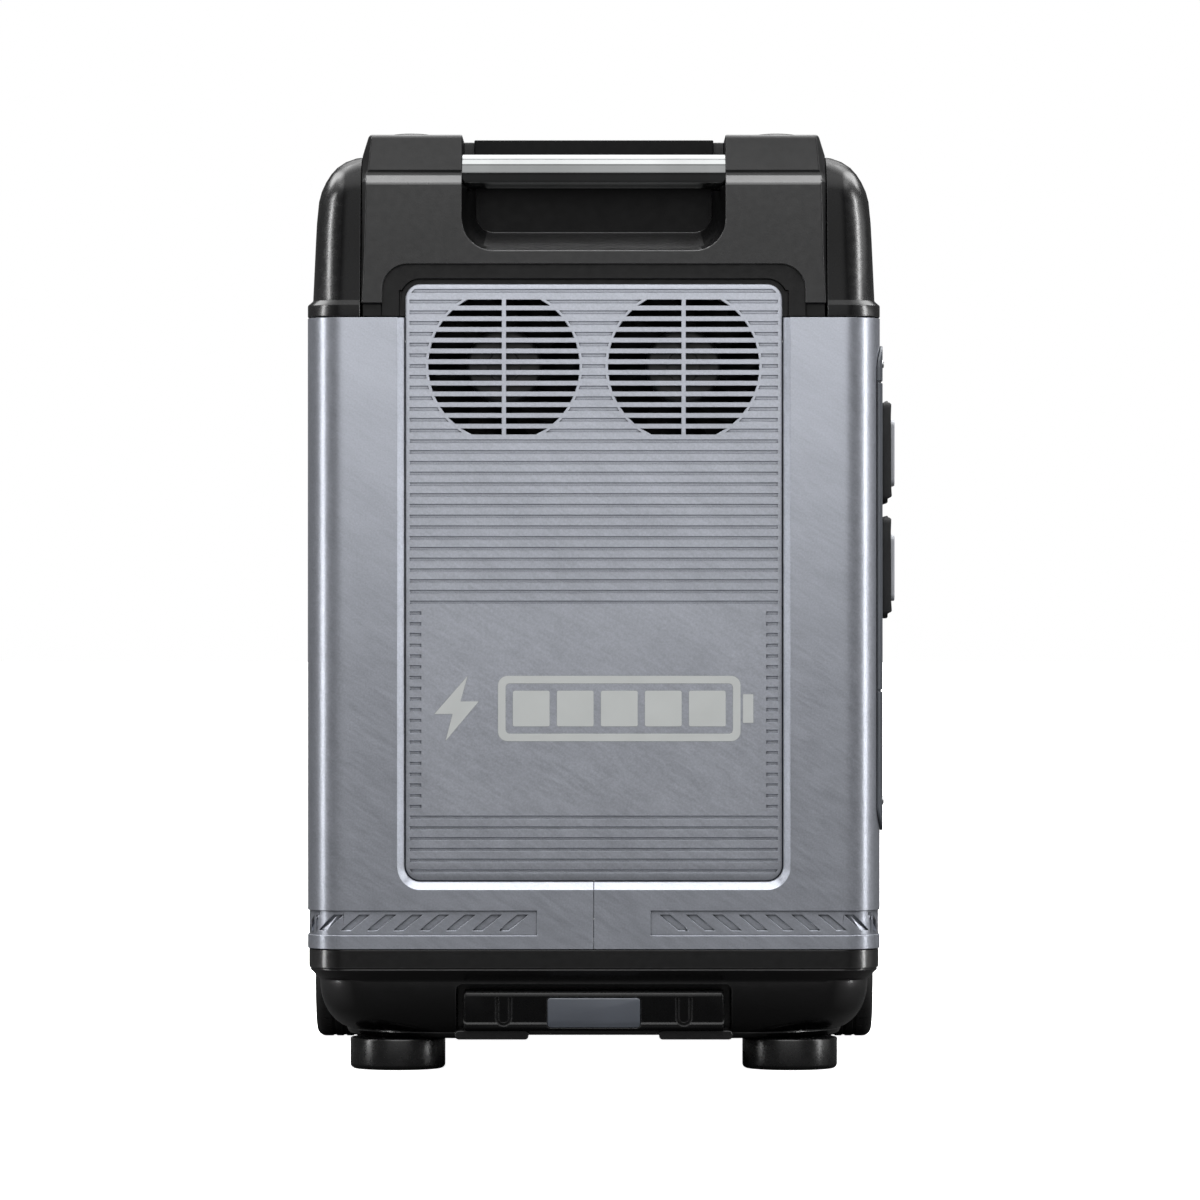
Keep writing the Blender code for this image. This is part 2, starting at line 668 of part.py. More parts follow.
# Front panel -----------------------------------------------------------------------------------
def make_front_panel(dark):
    face = HALF_W + FRONT_PROUD
    skin = plan_outline(face, HALF_L + FRONT_PROUD, CORNER_R + FRONT_PROUD)
    panel = solid("front_panel", prism(skin, "Z", *FRONT_Z), dark)
    outline = rounded_rect((-FRONT_HALF_L, FRONT_Z[0]), (FRONT_HALF_L, FRONT_Z[1]), FRONT_R)
    keep(panel, prism(outline, "X", FRONT_BACK, HALF_W + PAST))
    behind = prism(plan_outline(HALF_W + GAP, HALF_L + GAP, CORNER_R + GAP), "Z", 0.1, 0.5)
    behind = cut(panel, behind)
    low = (-WINDOW_HALF_L + GAP, WINDOW_Z[0] + GAP)
    high = (WINDOW_HALF_L - GAP, WINDOW_Z[1] - GAP)
    cut(behind, prism(rounded_rect(low, high, 0.0097, 3), "X", 0.10, HALF_W + PAST))
    for y in SOCKET_YS:
        for z in SOCKET_ZS:
            hole = SOCKET_HALF + GAP
            cut(panel, box((0.16, y - hole, z - hole), (0.20, y + hole, z + hole)))
    for y, z, radius in BUTTONS.values():
        cut(panel, cylinder("X", (y, z), radius + GAP, 0.16, 0.20, 24))
    low = (0.16, PORTS_Y[0] - GAP, PORTS_Z[0] - GAP)
    high = (0.20, PORTS_Y[1] + GAP, PORTS_Z[1] + GAP)
    cut(panel, box(low, high))
    low = (DISPLAY_Y[0] - GAP, DISPLAY_Z[0] - GAP)
    high = (DISPLAY_Y[1] + GAP, DISPLAY_Z[1] + GAP)
    cut(panel, prism(rounded_rect(low, high, 0.006, 3), "X", 0.1792, 0.20))
    ledge = 0.005
    low = (0.16, DISPLAY_Y[0] + ledge, DISPLAY_Z[0] + ledge)
    cut(panel, box(low, (0.20, DISPLAY_Y[1] - ledge, DISPLAY_Z[1] - ledge)))


def make_display(glass, board):
    outline = rounded_rect((DISPLAY_Y[0], DISPLAY_Z[0]), (DISPLAY_Y[1], DISPLAY_Z[1]), 0.0057, 3)
    solid("display_lens", prism(outline, "X", 0.1795, 0.1816), glass)
    low = (0.1690, DISPLAY_Y[0] + 0.0055, DISPLAY_Z[0] + 0.0055)
    high = (0.1788, DISPLAY_Y[1] - 0.0055, DISPLAY_Z[1] - 0.0055)
    solid("display_module", box(low, high), board)


def make_sockets(black, dark):
    half_y, half_z = COVER_HALF
    hinge_x, hinge_up = COVER_HINGE
    for row, z in enumerate(SOCKET_ZS):
        for column, y in enumerate(SOCKET_YS):
            name = f"{('upper', 'lower')[row]}_{('near', 'far')[column]}"
            face = HALF_W + FRONT_PROUD - 0.0004
            half = SOCKET_HALF
            plate = rounded_rect((y - half, z - half), (y + half, z + half), 0.003, 2)
            socket = solid("socket_" + name, prism(plate, "X", face - 0.030, face), black)
            cut(socket, cylinder("X", (y, z), SOCKET_WELL_R, face - SOCKET_WELL_DEPTH, 0.20))
            pins = bmesh.new()
            for side in (-1, 1):
                add_cylinder(pins, "X", (y + side * 0.0095, z), 0.0025, face - 0.027, face - 0.01, 8)
            cut(socket, pins)
            # The cover hangs from its hinge, so its outline is drawn across the hinge's axis.
            axis_z = z + hinge_up
            bottom = z - half_z
            side_view = arc((hinge_x, axis_z), COVER_HINGE_R, 180, 90, 4)
            side_view += [(COVER_X[1] - 0.002, axis_z + COVER_HINGE_R), (COVER_X[1], axis_z + 0.001)]
            side_view += [(COVER_X[1], bottom + 0.001), (COVER_X[1] - 0.001, bottom), (COVER_X[0], bottom)]
            made = prism(side_view, "Y", y - half_y, y + half_y)
            cover = solid("socket_cover_" + name, made, dark, (hinge_x, y, axis_z))
            cut(cover, cylinder("X", (y, z - 0.001), 0.0225, COVER_X[0] - 0.01, COVER_X[0] + 0.0055))


def make_ports(black):
    face = HALF_W + FRONT_PROUD - 0.0004
    made = box((0.160, PORTS_Y[0], PORTS_Z[0]), (face, PORTS_Y[1], PORTS_Z[1]))
    ports = solid("usb_port_block", made, black)
    z = (PORTS_Z[0] + PORTS_Z[1]) / 2
    holes = bmesh.new()
    for y, half_y, half_z in USB_PORTS:
        add_box(holes, (face - 0.013, y - half_y, z - half_z), (face + 0.01, y + half_y, z + half_z))
    y, radius = CAR_SOCKET
    add_cylinder(holes, "X", (y, z), radius, face - 0.018, face + 0.01, 28)
    cut(ports, holes)


def make_buttons(grey):
    low, high = BUTTON_X
    for name, (y, z, radius) in BUTTONS.items():
        bm = bmesh.new()
        add_turned(bm, ((radius, low), (radius, high - 0.0008), (radius - 0.0008, high)), "X", (y, z), 24)
        solid(name, bm, grey, (high, y, z))


# Rear ports ------------------------------------------------------------------------------------
def make_rear(dark, black):
    low = (-REAR_HALF_L, REAR_Z[0])
    high = (REAR_HALF_L, REAR_Z[1])
    outer = rounded_rect(low, high, 0.0057, 3)
    panel = solid("rear_port_panel", prism(outer, "X", REAR_FLOOR, -HALF_W + 0.0004), dark)
    inner = rounded_rect((low[0] + 0.002, low[1] + 0.002), (high[0] - 0.002, high[1] - 0.002), 0.0008, 2)
    cut(panel, prism(inner, "X", -HALF_W - PAST, REAR_FLOOR - 0.003))
    z = INLET_Z
    rim = 0.0035
    for name, (y, half_y, half_z, depth) in INLETS.items():
        hole = (REAR_FLOOR - PAST, y - half_y - GAP, z - half_z - GAP)
        cut(panel, box(hole, (REAR_FLOOR + PAST, y + half_y + GAP, z + half_z + GAP)))
        body = rounded_rect((y - half_y, z - half_z), (y + half_y, z + half_z), 0.003, 2)
        inlet = solid(name, prism(body, "X", INLET_FACE, INLET_FACE + depth + 0.012), black)
        low = (y - half_y + rim, z - half_z + rim)
        high = (y + half_y - rim, z + half_z - rim)
        cut(inlet, prism(rounded_rect(low, high, 0.002, 2), "X", INLET_FACE - 0.01, INLET_FACE + depth))
        pins = bmesh.new()
        for pin_y in (y - 0.007, y + 0.007):
            low = (INLET_FACE + 0.003, pin_y - 0.001, z - 0.003)
            add_box(pins, low, (INLET_FACE + depth + 0.002, pin_y + 0.001, z + 0.003))
        join(inlet, pins)
    hinge_x, hinge_z = DOOR_HINGE
    door_r = 0.0015
    clear = 0.0026
    side_view = arc((hinge_x, hinge_z), door_r, 0, 90, 3)
    side_view += [(-HALF_W + 0.0002, hinge_z + door_r), (-HALF_W + 0.0002, REAR_Z[0] + clear)]
    side_view += [(-HALF_W + 0.0032, REAR_Z[0] + clear)]
    side_view.append((hinge_x + door_r, hinge_z - 0.004))
    door = prism(side_view, "Y", -REAR_HALF_L + clear, REAR_HALF_L - clear)
    solid("rear_port_door", door, dark, (hinge_x, 0, hinge_z))


# Inside ----------------------------------------------------------------------------------------
def make_battery(steel, blue):
    half_x, half_y = PLATE_HALF
    outline = rounded_rect((-half_x, -half_y), (half_x, half_y), 0.006, 2)
    solid("chassis_plate", prism(outline, "Z", *PLATE_Z), steel)
    half_length = CELLS * CELL[1] / 2
    top = MODULE_Z + CELL[2]
    for name, side in (("front", 1), ("rear", -1)):
        low_x, high_x = sorted((side * MODULE_X, side * (MODULE_X + CELL[0])))
        made = box((low_x, -half_length, MODULE_Z), (high_x, half_length, top))
        module = solid("battery_module_" + name, made, blue)
        grooves = bmesh.new()
        posts = bmesh.new()
        for i in range(CELLS):
            y = -half_length + i * CELL[1]
            if i:
                for x in (low_x, high_x):
                    low = (x - 0.003, y - 0.0006, MODULE_Z + 0.004)
                    add_box(grooves, low, (x + 0.003, y + 0.0006, top + 0.01))
            for offset in (-TERMINAL_X, TERMINAL_X):
                centre = ((low_x + high_x) / 2 + offset, y + CELL[1] / 2)
                add_cylinder(posts, "Z", centre, 0.007, top - 0.003, top + 0.003, 6)
        cut(module, grooves)
        join(module, posts)


def board(name, low, high, parts, finish):
    """A circuit board with its tall components as one solid."""
    made = solid(name, box(low, high), finish)
    for part_low, part_high in parts:
        join(made, box(part_low, part_high))


def make_electronics(green, alloy):
    z = BMS_Z
    shunt = ((-0.10, -0.15, z - 0.001), (-0.04, -0.05, z + 0.012))
    relays = ((0.03, -0.02, z - 0.001), (0.11, 0.08, z + 0.018))
    board("bms_board", (-0.118, -0.190, z - 0.0016), (0.118, 0.120, z), (shunt, relays), green)
    z = INVERTER_Z
    coils = [((x, -0.16, z - 0.001), (x + 0.07, -0.09, z + 0.060)) for x in (-0.09, 0.02)]
    capacitors = [((x, 0.02, z - 0.001), (x + 0.03, 0.12, z + 0.045)) for x in (-0.10, -0.05, 0.0, 0.05)]
    board("inverter_board", (-0.125, -0.180, z - 0.002), (0.125, 0.180, z), coils + capacitors, green)
    x = CHARGER_X
    choke = ((x - 0.001, -0.06, 0.33), (x + 0.025, 0.0, 0.37))
    relay = ((x - 0.001, 0.03, 0.40), (x + 0.030, 0.09, 0.45))
    board("charger_board", (x - 0.002, -0.120, 0.300), (x, 0.120, 0.460), (choke, relay), green)
    half_x = 0.100
    made = box((-half_x, -0.165, SINK_Z), (half_x, 0.165, SINK_Z + 0.096))
    sink = solid("inverter_heatsink", made, alloy)
    slots = bmesh.new()
    for i in range(1, SINK_FINS):
        x = -half_x + i * 2 * half_x / SINK_FINS
        add_box(slots, (x - 0.0055, -0.20, SINK_Z + 0.007), (x + 0.0055, 0.20, SINK_Z + 0.12))
    cut(sink, slots)


def main():
    for obj in list(bpy.data.objects):
        bpy.data.objects.remove(obj)
    black = material("black_moulding", (0.018, 0.018, 0.019), 0.42)
    dark = material("dark_grey_moulding", (0.040, 0.041, 0.044), 0.50)
    silver = material("silver_paint", (0.36, 0.38, 0.42), 0.38, 0.6)
    chrome = material("polished_tube", (0.75, 0.75, 0.76), 0.12, 1.0)
    steel = material("plated_steel", (0.55, 0.56, 0.57), 0.30, 1.0)
    alloy = material("aluminium", (0.62, 0.63, 0.65), 0.35, 1.0)
    rubber = material("rubber", (0.020, 0.020, 0.020), 0.80)
    grey = material("grey_blue_button", (0.085, 0.095, 0.115), 0.45)
    glass = material("display_glass", (0.010, 0.011, 0.013), 0.06)
    green = material("circuit_board", (0.02, 0.11, 0.05), 0.50)
    blue = material("cell_wrap", (0.02, 0.06, 0.22), 0.40)
    make_base(black)
    make_feet(rubber)
    make_wheels(rubber, dark, steel)
    make_trolley(black, alloy, grey)
    make_shells(silver)
    make_end_panels(silver)
    make_fans(black, dark)
    make_top_cover(black)
    make_yokes(black, chrome)
    make_caps(black)
    make_front_panel(dark)
    make_display(glass, green)
    make_sockets(black, dark)
    make_ports(black)
    make_buttons(grey)
    make_rear(dark, black)
    make_battery(steel, blue)
    make_electronics(green, alloy)


main()
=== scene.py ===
"""The looks of a wheeled power station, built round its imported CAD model.

Metres, +Z up, in the CAD frame: the near end is -Y, the front with the sockets is +X. Pieces that exist at
both ends are made for the near end and turned half a turn about the upright axis for the far one.
"""

import json
import math

import bmesh
import bpy
from mathutils import Matrix, Vector


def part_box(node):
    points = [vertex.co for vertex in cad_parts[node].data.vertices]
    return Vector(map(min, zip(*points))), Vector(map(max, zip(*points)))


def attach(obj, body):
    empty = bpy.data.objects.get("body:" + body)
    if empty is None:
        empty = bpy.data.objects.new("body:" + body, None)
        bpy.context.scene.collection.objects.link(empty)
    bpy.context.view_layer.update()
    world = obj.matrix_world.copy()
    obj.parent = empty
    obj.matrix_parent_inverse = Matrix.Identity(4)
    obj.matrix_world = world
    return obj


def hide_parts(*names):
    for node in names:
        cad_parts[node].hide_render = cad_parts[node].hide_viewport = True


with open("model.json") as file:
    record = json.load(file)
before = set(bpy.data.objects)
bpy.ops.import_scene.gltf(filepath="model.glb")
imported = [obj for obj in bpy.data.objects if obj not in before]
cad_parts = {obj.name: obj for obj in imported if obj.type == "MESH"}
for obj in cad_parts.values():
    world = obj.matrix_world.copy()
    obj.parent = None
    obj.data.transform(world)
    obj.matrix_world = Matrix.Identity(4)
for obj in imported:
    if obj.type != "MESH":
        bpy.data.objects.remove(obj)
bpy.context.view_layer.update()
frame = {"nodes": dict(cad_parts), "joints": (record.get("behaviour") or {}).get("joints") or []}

# Places, from the frame ------------------------------------------------------------------------
JOINTS = {joint["name"]: joint for joint in frame["joints"]}
HALF_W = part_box("top_cover")[1].x
HALF_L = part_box("top_cover")[1].y
SHELL_Z = (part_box("front_body_shell")[0].z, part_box("front_body_shell")[1].z)
PANEL_HALF_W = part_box("near_end_panel")[1].x
PANEL_Z = (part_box("near_end_panel")[0].z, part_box("near_end_panel")[1].z)
PANEL_Y = (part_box("near_end_panel")[0].y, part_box("near_end_panel")[1].y)
FAN_X, _, FAN_Z = JOINTS["front_fan_spin"]["pos_m"]
_, WHEEL_Y, WHEEL_R = JOINTS["front_wheel_spin"]["pos_m"]
TUBE_LOW, TUBE_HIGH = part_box("near_grip_tube")
TUBE_R = (TUBE_HIGH.z - TUBE_LOW.z) / 2
TUBE_CENTRE = ((TUBE_LOW.y + TUBE_HIGH.y) / 2, (TUBE_LOW.z + TUBE_HIGH.z) / 2)
GRIP_LOW, GRIP_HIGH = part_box("trolley_grip")
RELEASE_LOW, RELEASE_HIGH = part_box("trolley_release")
RELEASE_MIDDLE = (0, (RELEASE_LOW.z + RELEASE_HIGH.z) / 2)
RELEASE_HALF = ((RELEASE_HIGH.x - RELEASE_LOW.x) / 2, (RELEASE_HIGH.z - RELEASE_LOW.z) / 2)
BASE_LOW, BASE_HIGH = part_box("base_tray")
YOKE_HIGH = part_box("near_handle_yoke")[1]
SOCKET_NAMES = [f"{row}_{column}" for row in ("upper", "lower") for column in ("near", "far")]
KEYS = ("power_button", "ac_button", "dc_button")

GAP = 0.0003
CORNER_R = 0.025
WALL = 0.003
PANEL_R = 0.0094
REVEAL = (0.0051, 0.0005)  # the chamfer round the sunk panel: its width, and what its foot has more
REVEAL_DEPTH = 0.0050
PAST = 0.02  # how far a cutter runs past what it cuts

# End panel: horizontal grooves over its whole height, and slots inside two circles.
PITCH = 0.006734
GROOVE_TOP = 0.4842
GROOVE_H = 0.0024
GROOVE_DEPTH = 0.0008
GROOVE_HALF = 0.1155
STUB_X = 0.108  # grooves beside the printed field only run from here outwards
STUB_ROWS = range(29, 48)
GRILLE_R = 0.0474
SLOT_H = 0.00366
RIB_HALF = 0.0014

# Trim strip low on the shells.
STRIP_Z = (0.0858, 0.1014)
STRIP_START = 0.0355
STRIP_END = 0.250
STRIP_DEPTH = 0.0010
TRIM_Z = (0.0889, 0.0989)
TRIM_START = 0.0531
TRIM_W = 0.0066
TRIM_PITCH = 0.0165
TRIM_SLANT = 0.0119

# Base skirt: it turns under by this much, along an ellipse.
SKIRT_H = 0.0323
SKIRT_REACH = 0.0370
SKIRT_IN = 0.030
ARCH_R = 0.0560  # the rim round a wheel
ARCH_X = 0.142
WELL_R = 0.0505  # the well the wheel turns in
WELL_X = 0.146
BAY_HALF = 0.0864
TYRE_BORE = 0.0325

# Handle yoke.
YOKE_FACE = 0.0005  # the apron stands in this far behind the ridge
POST_IN = 0.0825
POST_TOP = YOKE_HIGH.z
POCKET_FLOOR = 0.515
POCKET_R = 0.0195
POCKET_BACK = -0.160
BACK_WALL_TOP = 0.5876
ARCH_HALF_W = 0.1325
ARCH_TOP = 0.5064
LEG_BOTTOM = 0.482

USB_WIDE = 0.005  # openings with a half width above this are the larger kind
CONTACT_Y = 0.0095  # the socket contacts, off the middle

# Top cover: the field of anti-slip grooves on its deck.
DECK_HALF = (0.112, 0.128)

ROUND = 12  # steps of a quarter turn on a corner that shows


# Mesh helpers ----------------------------------------------------------------------------------
def middle_of(node):
    """The middle of a node seen along X."""
    low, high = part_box(node)
    return (low.y + high.y) / 2, (low.z + high.z) / 2


def half_size(node):
    """Half the width and half the height of a node seen along X."""
    low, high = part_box(node)
    return (high.y - low.y) / 2, (high.z - low.z) / 2


def round_plan(node):
    """Centre and radius of a round node seen from above."""
    low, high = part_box(node)
    return ((low.x + high.x) / 2, (low.y + high.y) / 2), (high.x - low.x) / 2


def place(axis, a, b, along):
    """A point from its two coordinates across an axis and the one along it."""
    if axis == "X":
        return Vector((along, a, b))
    if axis == "Y":
        return Vector((a, along, b))
    return Vector((a, b, along))


def arc(centre, radius, start, end, steps=ROUND):
    """Points on an arc, angles in degrees, both ends included."""
    angles = [math.radians(start + (end - start) * i / steps) for i in range(steps + 1)]
    return [(centre[0] + radius * math.cos(a), centre[1] + radius * math.sin(a)) for a in angles]


def rounded_rect(low, high, radius, steps=ROUND):
    """A rectangle between two corners, with round corners."""
    (x0, y0), (x1, y1) = low, high
    outline = arc((x1 - radius, y0 + radius), radius, -90, 0, steps)
    outline += arc((x1 - radius, y1 - radius), radius, 0, 90, steps)
    outline += arc((x0 + radius, y1 - radius), radius, 90, 180, steps)
    return outline + arc((x0 + radius, y0 + radius), radius, 180, 270, steps)


def centred_rect(centre, half_a, half_b, radius, steps=6):
    low = (centre[0] - half_a, centre[1] - half_b)
    return rounded_rect(low, (centre[0] + half_a, centre[1] + half_b), radius, steps)


def node_outline(node, inset_y, inset_z, radius, steps=ROUND):
    """The outline of a node seen along X, drawn in on all sides, or out where the insets are negative."""
    low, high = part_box(node)
    corner = (high.y - inset_y, high.z - inset_z)
    return rounded_rect((low.y + inset_y, low.z + inset_z), corner, radius, steps)


def add_loft(bm, rings):
    """Bridge a row of rings of equal length and close both ends."""
    loops = [[bm.verts.new(point) for point in ring] for ring in rings]
    count = len(loops[0])
    for low, high in zip(loops, loops[1:]):
        for i in range(count):
            j = (i + 1) % count
            bm.faces.new((low[i], low[j], high[j], high[i]))
    bm.faces.new(loops[0])
    bm.faces.new(loops[-1])


def add_prism(bm, outline, axis, low, high):
    add_loft(bm, [[place(axis, a, b, along) for a, b in outline] for along in (low, high)])


def add_box(bm, low, high):
    outline = ((low[0], low[1]), (high[0], low[1]), (high[0], high[1]), (low[0], high[1]))
    add_prism(bm, outline, "Z", low[2], high[2])


def add_turned(bm, profile, axis, centre, steps=64):
    """Turn a profile of (radius, along) pairs about an axis, with a flat face at each end."""
    rings = []
    for radius, along in profile:
        ring = arc(centre, radius, 0, 360, steps)[:-1]
        rings.append([place(axis, a, b, along) for a, b in ring])
    add_loft(bm, rings)


def add_slab(bm, centre, half, radius, axis, back, face, edge, steps=6):
    """A round-cornered slab from back to face, the rim of its face rounded by edge."""
    rings = []
    sign = 1 if face > back else -1
    stations = [(0.0, back)]
    stations += [(edge * (1 - math.cos(a)), face - sign * edge * (1 - math.sin(a)))
                 for a in (math.radians(90 * i / 4) for i in range(5))]
    for inset, along in stations:
        outline = centred_rect(centre, half[0] - inset, half[1] - inset, max(radius - inset, 0.0002), steps)
        rings.append([place(axis, a, b, along) for a, b in outline])
    add_loft(bm, rings)


def add_bar(bm, section, low, high, round_end):
    """A bar along X. section(inset) is its outline across X, and both its ends are rounded."""
    steps = 6
    rings = []
    for i in range(steps, -1, -1):
        angle = math.radians(90 * i / steps)
        rings.append((low + round_end * (1 - math.sin(angle)), round_end * (1 - math.cos(angle))))
    mirrored = [(low + high - along, inset) for along, inset in reversed(rings)]
    add_loft(bm, [[Vector((x, y, z)) for y, z in section(inset)] for x, inset in rings + mirrored])


def made_of(add, *args, **values):
    """A new bmesh filled by one of the add functions."""
    bm = bmesh.new()
    add(bm, *args, **values)
    return bm


def prism(outline, axis, low, high):
    return made_of(add_prism, outline, axis, low, high)


def box(low, high):
    return made_of(add_box, low, high)


def lathe(profile, axis, centre, steps=64):
    return made_of(add_turned, profile, axis, centre, steps)


def slab(centre, half, radius, axis, back, face, edge, steps=6):
    return made_of(add_slab, centre, half, radius, axis, back, face, edge, steps)


def cylinder(axis, centre, radius, low, high, steps=64):
    return lathe(((radius, low), (radius, high)), axis, centre, steps)


def block(name, bm):
    """A mesh object from bm, which is given in the frame's coordinates."""
    bmesh.ops.recalc_face_normals(bm, faces=bm.faces)
    mesh = bpy.data.meshes.new(name)
    bm.to_mesh(mesh)
    bm.free()
    obj = bpy.data.objects.new(name, mesh)
    bpy.context.scene.collection.objects.link(obj)
    return obj


def combine(obj, operation, bm):
    """Apply a Boolean with a mesh that isn't kept."""
    tool = block("tool", bm)
    modifier = obj.modifiers.new("Boolean", "BOOLEAN")
    modifier.operation = operation
    modifier.object = tool
    graph = bpy.context.evaluated_depsgraph_get()
    mesh = bpy.data.meshes.new_from_object(obj.evaluated_get(graph))
    obj.modifiers.remove(modifier)
    obj.data = mesh
    bpy.data.objects.remove(tool)
    return obj


def cut(obj, bm):
    return combine(obj, "DIFFERENCE", bm)


def join(obj, bm):
    return combine(obj, "UNION", bm)


def keep(obj, bm):
    return combine(obj, "INTERSECT", bm)


def taken(obj):
    """The mesh of a helper object, which is removed."""
    bm = bmesh.new()
    bm.from_mesh(obj.data)
    bpy.data.objects.remove(obj)
    return bm


def add_moved(bm, part, matrix):
    """Add a small mesh to another, moved by a matrix."""
    bmesh.ops.transform(part, matrix=matrix, verts=part.verts)
    mesh = bpy.data.meshes.new("moved")
    part.to_mesh(mesh)
    part.free()
    bm.from_mesh(mesh)
    bpy.data.meshes.remove(mesh)


def finish(obj, material, body="case", nodes=(), bevel=0.0, segments=2, angle=32):
    """Shade and round a made piece, and tie it to the frame."""
    obj.data.materials.clear()
    obj.data.materials.append(material)
    obj.data.shade_smooth()
    if bevel:
        rounding = obj.modifiers.new("Bevel", "BEVEL")
        rounding.width = bevel
        rounding.segments = segments
        rounding.limit_method = "ANGLE"
        rounding.angle_limit = math.radians(angle)
        rounding.use_clamp_overlap = False
        rounding.harden_normals = True
        rounding.miter_outer = "MITER_ARC"
    else:
        obj.data.set_sharp_from_angle(angle=math.radians(angle))
    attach(obj, body)
    if nodes:
        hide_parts(*nodes)
    return obj


def even_flats(obj):
    """Keep the shading of large flats even where they run smoothly into a curve."""
    weighting = obj.modifiers.new("Even", "WEIGHTED_NORMAL")
    weighting.mode = "FACE_AREA"
    weighting.keep_sharp = True
    weighting.weight = 100


def turned_copy(obj, name):
    """The same piece at the other end: a copy turned half a turn about the upright axis."""
    mesh = obj.data.copy()
    mesh.transform(Matrix.Rotation(math.pi, 4, "Z"))
    copy = bpy.data.objects.new(name, mesh)
    bpy.context.scene.collection.objects.link(copy)
    return copy


# Materials -------------------------------------------------------------------------------------
def math_node(tree, operation, *values):
    node = tree.nodes.new("ShaderNodeMath")
    node.operation = operation
    for i, value in enumerate(values):
        if isinstance(value, (int, float)):
            node.inputs[i].default_value = value
        else:
            tree.links.new(value, node.inputs[i])
    return node.outputs[0]


def principled(name, colour, roughness, metallic=0.0):
    made = bpy.data.materials.new(name)
    made.use_nodes = True
    shader = made.node_tree.nodes["Principled BSDF"]
    shader.inputs["Base Color"].default_value = (*colour, 1.0)
    shader.inputs["Roughness"].default_value = roughness
    shader.inputs["Metallic"].default_value = metallic
    return made


def noise(made, scale, stretch=(1, 1, 1), detail=3.0, turn=(0, 0, 0)):
    """A noise texture in the piece's own coordinates: its output socket."""
    nodes, links = made.node_tree.nodes, made.node_tree.links
    coordinates = nodes.new("ShaderNodeTexCoord")
    mapping = nodes.new("ShaderNodeMapping")
    mapping.vector_type = "TEXTURE"
    mapping.inputs["Scale"].default_value = [1 / (scale * amount) for amount in stretch]
    mapping.inputs["Rotation"].default_value = turn
    texture = nodes.new("ShaderNodeTexNoise")
    texture.inputs["Scale"].default_value = 1.0
    texture.inputs["Detail"].default_value = detail
    links.new(coordinates.outputs["Object"], mapping.inputs["Vector"])
    links.new(mapping.outputs["Vector"], texture.inputs["Vector"])
    return texture.outputs["Fac"]


def ramp(made, source, low, high):
    """A value or colour running from low to high as the source texture rises."""
    nodes, links = made.node_tree.nodes, made.node_tree.links
    coloured = isinstance(low, tuple)
    node = nodes.new("ShaderNodeValToRGB" if coloured else "ShaderNodeMapRange")
    links.new(source, node.inputs[0])
    if coloured:
        first, last = node.color_ramp.elements
        first.position, last.position = 0.32, 0.68
        first.color = (*low, 1.0)
        last.color = (*high, 1.0)
        return node.outputs["Color"]
    node.inputs["From Min"].default_value = 0.32
    node.inputs["From Max"].default_value = 0.68
    node.inputs["To Min"].default_value = low
    node.inputs["To Max"].default_value = high
    return node.outputs["Result"]


def feed(made, socket, source):
    shader = made.node_tree.nodes["Principled BSDF"]
    made.node_tree.links.new(source, shader.inputs[socket])


def paint_crevice_shade(made, source, reach, floor):
    """Painted shade: multiply a colour by how open the surface is, so that narrow grooves and joints are
    painted dark where shadow would fall.
    """
    nodes, links = made.node_tree.nodes, made.node_tree.links
    opening = nodes.new("ShaderNodeAmbientOcclusion")
    opening.samples = 8
    opening.inputs["Distance"].default_value = reach
    level = nodes.new("ShaderNodeMapRange")
    level.inputs["From Min"].default_value = 0.30
    level.inputs["From Max"].default_value = 0.92
    level.inputs["To Min"].default_value = floor
    level.inputs["To Max"].default_value = 1.0
    links.new(opening.outputs["AO"], level.inputs["Value"])
    scaled = nodes.new("ShaderNodeVectorMath")
    scaled.operation = "SCALE"
    links.new(source, scaled.inputs[0])
    links.new(level.outputs["Result"], scaled.inputs["Scale"])
    return scaled.outputs["Vector"]


def add_bump(made, heights):
    """Stack bumps on the shader's normal; heights are pairs of a source socket and a height in metres."""
    nodes, links = made.node_tree.nodes, made.node_tree.links
    normal = None
    for source, height in heights:
        node = nodes.new("ShaderNodeBump")
        node.inputs["Distance"].default_value = height
        links.new(source, node.inputs["Height"])
        if normal:
            links.new(normal, node.inputs["Normal"])
        normal = node.outputs["Normal"]
    feed(made, "Normal", normal)


def shade(colour, amount):
    return tuple(channel * amount for channel in colour)


def wear_and_edge_highlight(made, source, colour, reach=0.0010):
    """Mix in a paler tone where the surface turns a sharp edge: partly rub wear from handling, partly a
    painted edge highlight.
    """
    nodes, links = made.node_tree.nodes, made.node_tree.links
    rounded = nodes.new("ShaderNodeBevel")
    rounded.samples = 4
    rounded.inputs["Radius"].default_value = reach
    flat = nodes.new("ShaderNodeNewGeometry")
    agree = nodes.new("ShaderNodeVectorMath")
    agree.operation = "DOT_PRODUCT"
    links.new(rounded.outputs["Normal"], agree.inputs[0])
    links.new(flat.outputs["Normal"], agree.inputs[1])
    edge = nodes.new("ShaderNodeMapRange")
    edge.inputs["From Min"].default_value = 0.995
    edge.inputs["From Max"].default_value = 0.90
    edge.inputs["To Max"].default_value = 0.85
    links.new(agree.outputs["Value"], edge.inputs["Value"])
    mix = nodes.new("ShaderNodeMix")
    mix.data_type = "RGBA"
    links.new(edge.outputs["Result"], mix.inputs["Factor"])
    links.new(source, mix.inputs[6])
    mix.inputs[7].default_value = (*colour, 1.0)
    return mix.outputs[2]


